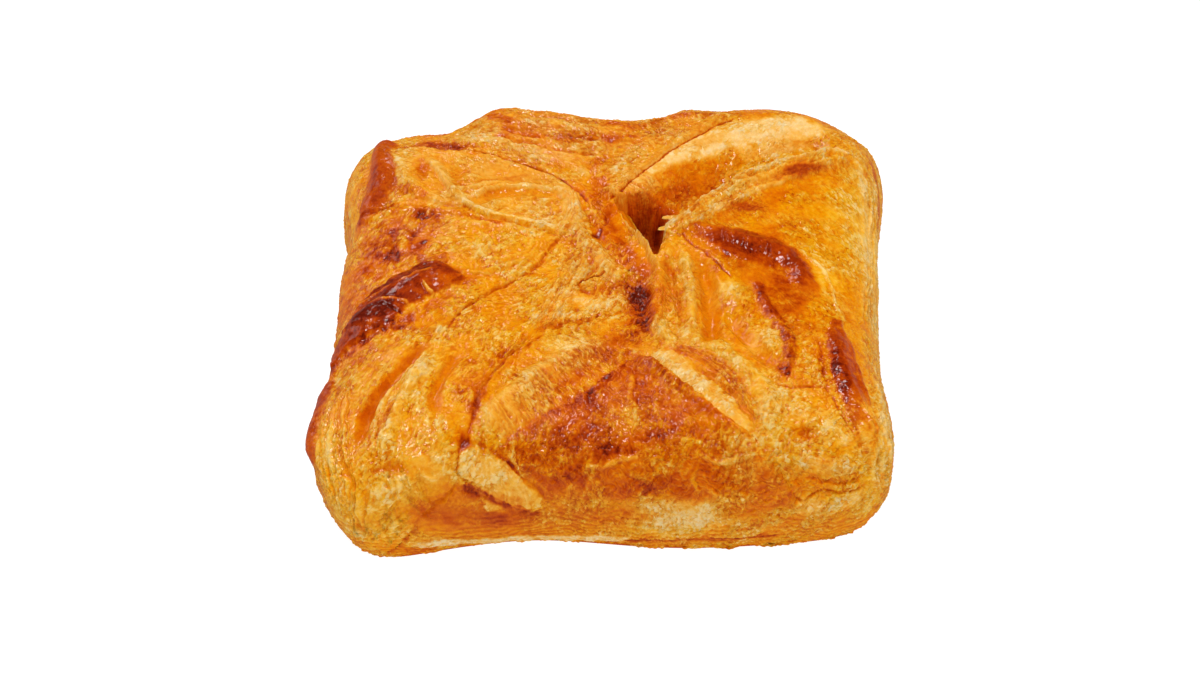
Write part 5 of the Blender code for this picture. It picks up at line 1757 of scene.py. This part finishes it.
@dataclass
class Underside(SubAssembly):
    """The flat face that lay on the tray: a closed slab, evenly browned, with shallow dimples."""

    sheet: DoughSheet
    rings: int = 90
    across: int = 360
    dimple: float = 0.45           # mm
    thickness: float = 0.9
    rim: float = 0.06              # share of the way in where the dimples fade out
    tone: float = 0.6
    hidden_dry: float = 0.3        # for the slab's upper face, inside the pastry
    map_width: float = 140.0       # mm across the map

    def shapes(self) -> list[tuple[str, Shape]]:
        """The slab alone."""
        return [("underside", self.build())]

    def build(self) -> Shape:
        """The slab's grid of rings, from the foot of the walls to the middle.

        Returns:
            The slab's shape in mm.
        """
        share = np.linspace(0.0, 1.0, self.rings)[:, None]
        round_ = np.linspace(0.0, 8.0, self.across, endpoint=False)[None, :]
        ones = np.ones_like(share * round_)
        foot, _ = self.sheet.pillow.surface(ones, round_ * ones)
        plan = foot[..., :2] * share[..., None]
        noise = self.sheet.noise["layer"]
        hollow = smoothstep(noise.fractal(plan, 14.0, 4) * 1.2 + 0.5)
        edge = smoothstep((1.0 - share) / self.rim)
        low = self.dimple * hollow * edge
        bottom = np.concatenate([plan, low[..., None]], axis=-1)
        top = np.concatenate([plan * 0.995, np.full_like(low, self.thickness)[..., None]], axis=-1)
        vertices = np.vstack([bottom[1:].reshape(-1, 3), top[-1], [[0.0, 0.0, low[0].mean()]],
                              [[0.0, 0.0, self.thickness]]])
        rings = self.rings - 1
        index = np.arange((rings + 1) * self.across).reshape(rings + 1, self.across)
        after = np.roll(index, -1, axis=1)
        quads = quads_between(index[:-1], after[:-1], after[1:], index[1:])
        centre = (rings + 1) * self.across
        closed = np.append(index[0], index[0, 0])
        top_ring = np.append(index[-1], index[-1, 0])
        brown = self.tone + 0.14 * noise.fractal(plan, 9.0, 4) - 0.25 * hollow * edge + 0.1
        dry = 0.35 + 0.4 * hollow * edge
        inside = np.ones(self.across + 2)
        values = {"tone": np.concatenate([brown[1:].ravel(), self.tone * inside]),
                  "dry": np.concatenate([dry[1:].ravel(), self.hidden_dry * inside]),
                  "lively": np.full(len(vertices), 0.4), "slant": np.zeros(len(vertices))}
        places = 0.5 + vertices[:, :2] / self.map_width
        return Shape(vertices, [quads, fan(centre, closed[::-1]), fan(centre + 1, top_ring)], values, places)


@dataclass(frozen=True)
class SoftBox:
    """A square area light aimed at the pastry: where it stands and its side in metres, its power in watts."""

    name: str
    place: Triple
    size: float
    power: float
    mirrored: bool                 # whether it shows in reflections

    def build(self) -> None:
        """Puts the light into the scene."""
        lamp = bpy.data.lights.new(self.name, "AREA")
        lamp.size = self.size
        lamp.energy = self.power
        stand = bpy.data.objects.new(self.name, lamp)
        stand.location = self.place
        stand.visible_glossy = self.mirrored
        stand.rotation_euler = (-Vector(self.place)).to_track_quat("-Z", "Y").to_euler()
        bpy.context.scene.collection.objects.link(stand)


@dataclass
class Studio:
    """A white floor and soft light, with the camera where the photograph was taken from."""

    elevation: float = 41.0
    distance: float = 0.85
    aim: Triple = (0.0, -2.66, 10.94)   # mm, from the sheet's own origin
    lens: float = 122.4
    floor_half: float = 3.0
    sensor: float = 36.0
    surround: float = 0.25         # how bright the white surround is as a light
    gloss_dimming: float = 0.96    # how much darker it is in reflections
    boxes: tuple[SoftBox, ...] = (
        SoftBox("top_box", (-0.3, 0.1, 1.4), 0.35, 10.5, True),
        SoftBox("left_back_box", (-1.2, 0.8, 0.6), 0.8, 4.0, True),
        SoftBox("back_box", (-0.4, 1.05, 0.95), 0.3, 2.5, True),
        SoftBox("right_back_box", (1.2, 0.7, 0.6), 0.8, 6.5, False),
        SoftBox("front_box", (0.3, -1.2, 0.8), 0.9, 8.0, False),
    )

    def floor(self) -> None:
        """A pale floor, wide enough for every view."""
        mesh = bpy.data.meshes.new("floor")
        half = self.floor_half
        mesh.from_pydata([(-half, -half, 0.0), (half, -half, 0.0), (half, half, 0.0), (-half, half, 0.0)], [],
                         [(0, 1, 2, 3)])
        floor = bpy.data.objects.new("floor", mesh)
        bpy.context.scene.collection.objects.link(floor)
        material = bpy.data.materials.new("white_floor")
        material.use_nodes = True
        tree = Tree(material.node_tree)
        path = tree.add("LightPath").outputs
        dimmed = tree.math("MULTIPLY", path["Is Glossy Ray"], -self.gloss_dimming)
        glow = tree.math("MULTIPLY", tree.math("ADD", dimmed, 1.0), 0.8)
        tree.feed(material.node_tree.nodes["Principled BSDF"], {
            "Base Color": (0.25, 0.25, 0.25, 1.0),
            "Roughness": 1.0,
            "Specular IOR Level": 0.0,
            "Emission Color": WHITE,
            "Emission Strength": tree.math("ADD", glow, tree.math("MULTIPLY", path["Is Camera Ray"], 0.13)),
        })
        mesh.materials.append(material)

    def world(self) -> None:
        """A white surround, dimmed for everything but the camera."""
        world = bpy.data.worlds.new("studio")
        world.use_nodes = True
        tree = Tree(world.node_tree)
        path = tree.add("LightPath").outputs
        extra = tree.math("MULTIPLY", path["Is Camera Ray"], 1.0 - self.surround)
        dimmed = tree.math("MULTIPLY", path["Is Glossy Ray"], -self.gloss_dimming * self.surround)
        total = tree.math("ADD", tree.math("ADD", extra, dimmed), self.surround)
        tree.feed(world.node_tree.nodes["Background"], {"Color": WHITE, "Strength": total})
        bpy.context.scene.world = world

    def camera(self, shift: Array) -> None:
        """The camera at the photograph's angle.

        Args:
            shift: how far the sheet's origin was moved in plan, in mm.
        """
        rise = math.radians(self.elevation)
        aim = Vector((self.aim[0] + shift[0], self.aim[1] + shift[1], self.aim[2])) * MM
        back = Vector((0.0, -math.cos(rise), math.sin(rise)))
        data = bpy.data.cameras.new("camera")
        data.lens = self.lens
        data.sensor_width = self.sensor
        data.clip_start = 0.01
        camera = bpy.data.objects.new("camera", data)
        camera.location = aim + back * self.distance
        camera.rotation_euler = (-back).to_track_quat("-Z", "Y").to_euler()
        bpy.context.scene.collection.objects.link(camera)
        bpy.context.scene.camera = camera

    def build(self, shift: Array) -> None:
        """Floor, surround, soft boxes and camera, with the colours shown as they are.

        Args:
            shift: how far the sheet's origin was moved in plan, in mm.
        """
        self.floor()
        self.world()
        for box in self.boxes:
            box.build()
        self.camera(shift)
        bpy.context.scene.view_settings.view_transform = "Standard"


def main() -> None:
    """Builds the pastry and the studio, in order."""
    logging.basicConfig(level=logging.INFO, format="%(name)s: %(message)s")
    sheet = DoughSheet()
    corners = list(Corner)
    flaps = [Flap(name, start, stop, sheet)
             for name, start, stop in zip(("front_flap", "right_flap", "back_flap", "left_flap"),
                                          corners, corners[1:] + corners[:1])]
    crust = CrustFinish("baked_crust").material()
    base = CrustFinish("tray_side", roughness=0.5, gloss=0.1, dark_gloss=0.2).material()
    parts = [(part, crust) for part in (*flaps, LooseLeaves(sheet))] + [(Underside(sheet), base)]
    built = [(part, part.shapes(), material) for part, material in parts]
    low = np.min([shape.vertices.min(axis=0) for _, shapes, _ in built for _, shape in shapes], axis=0)
    high = np.max([shape.vertices.max(axis=0) for _, shapes, _ in built for _, shape in shapes], axis=0)
    node_low, node_high = (np.array(corner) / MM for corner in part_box(NODE))
    shift = (node_low + node_high - low - high) / 2.0
    shift[2] = 0.0
    log.info("pastry %s mm, moved %s mm in plan", np.round(high - low, 1), np.round(shift[:2], 2))
    for part, shapes, material in built:
        part.dress(shapes, shift, material)
    Studio().build(shift)


if __name__ == "__main__":
    main()
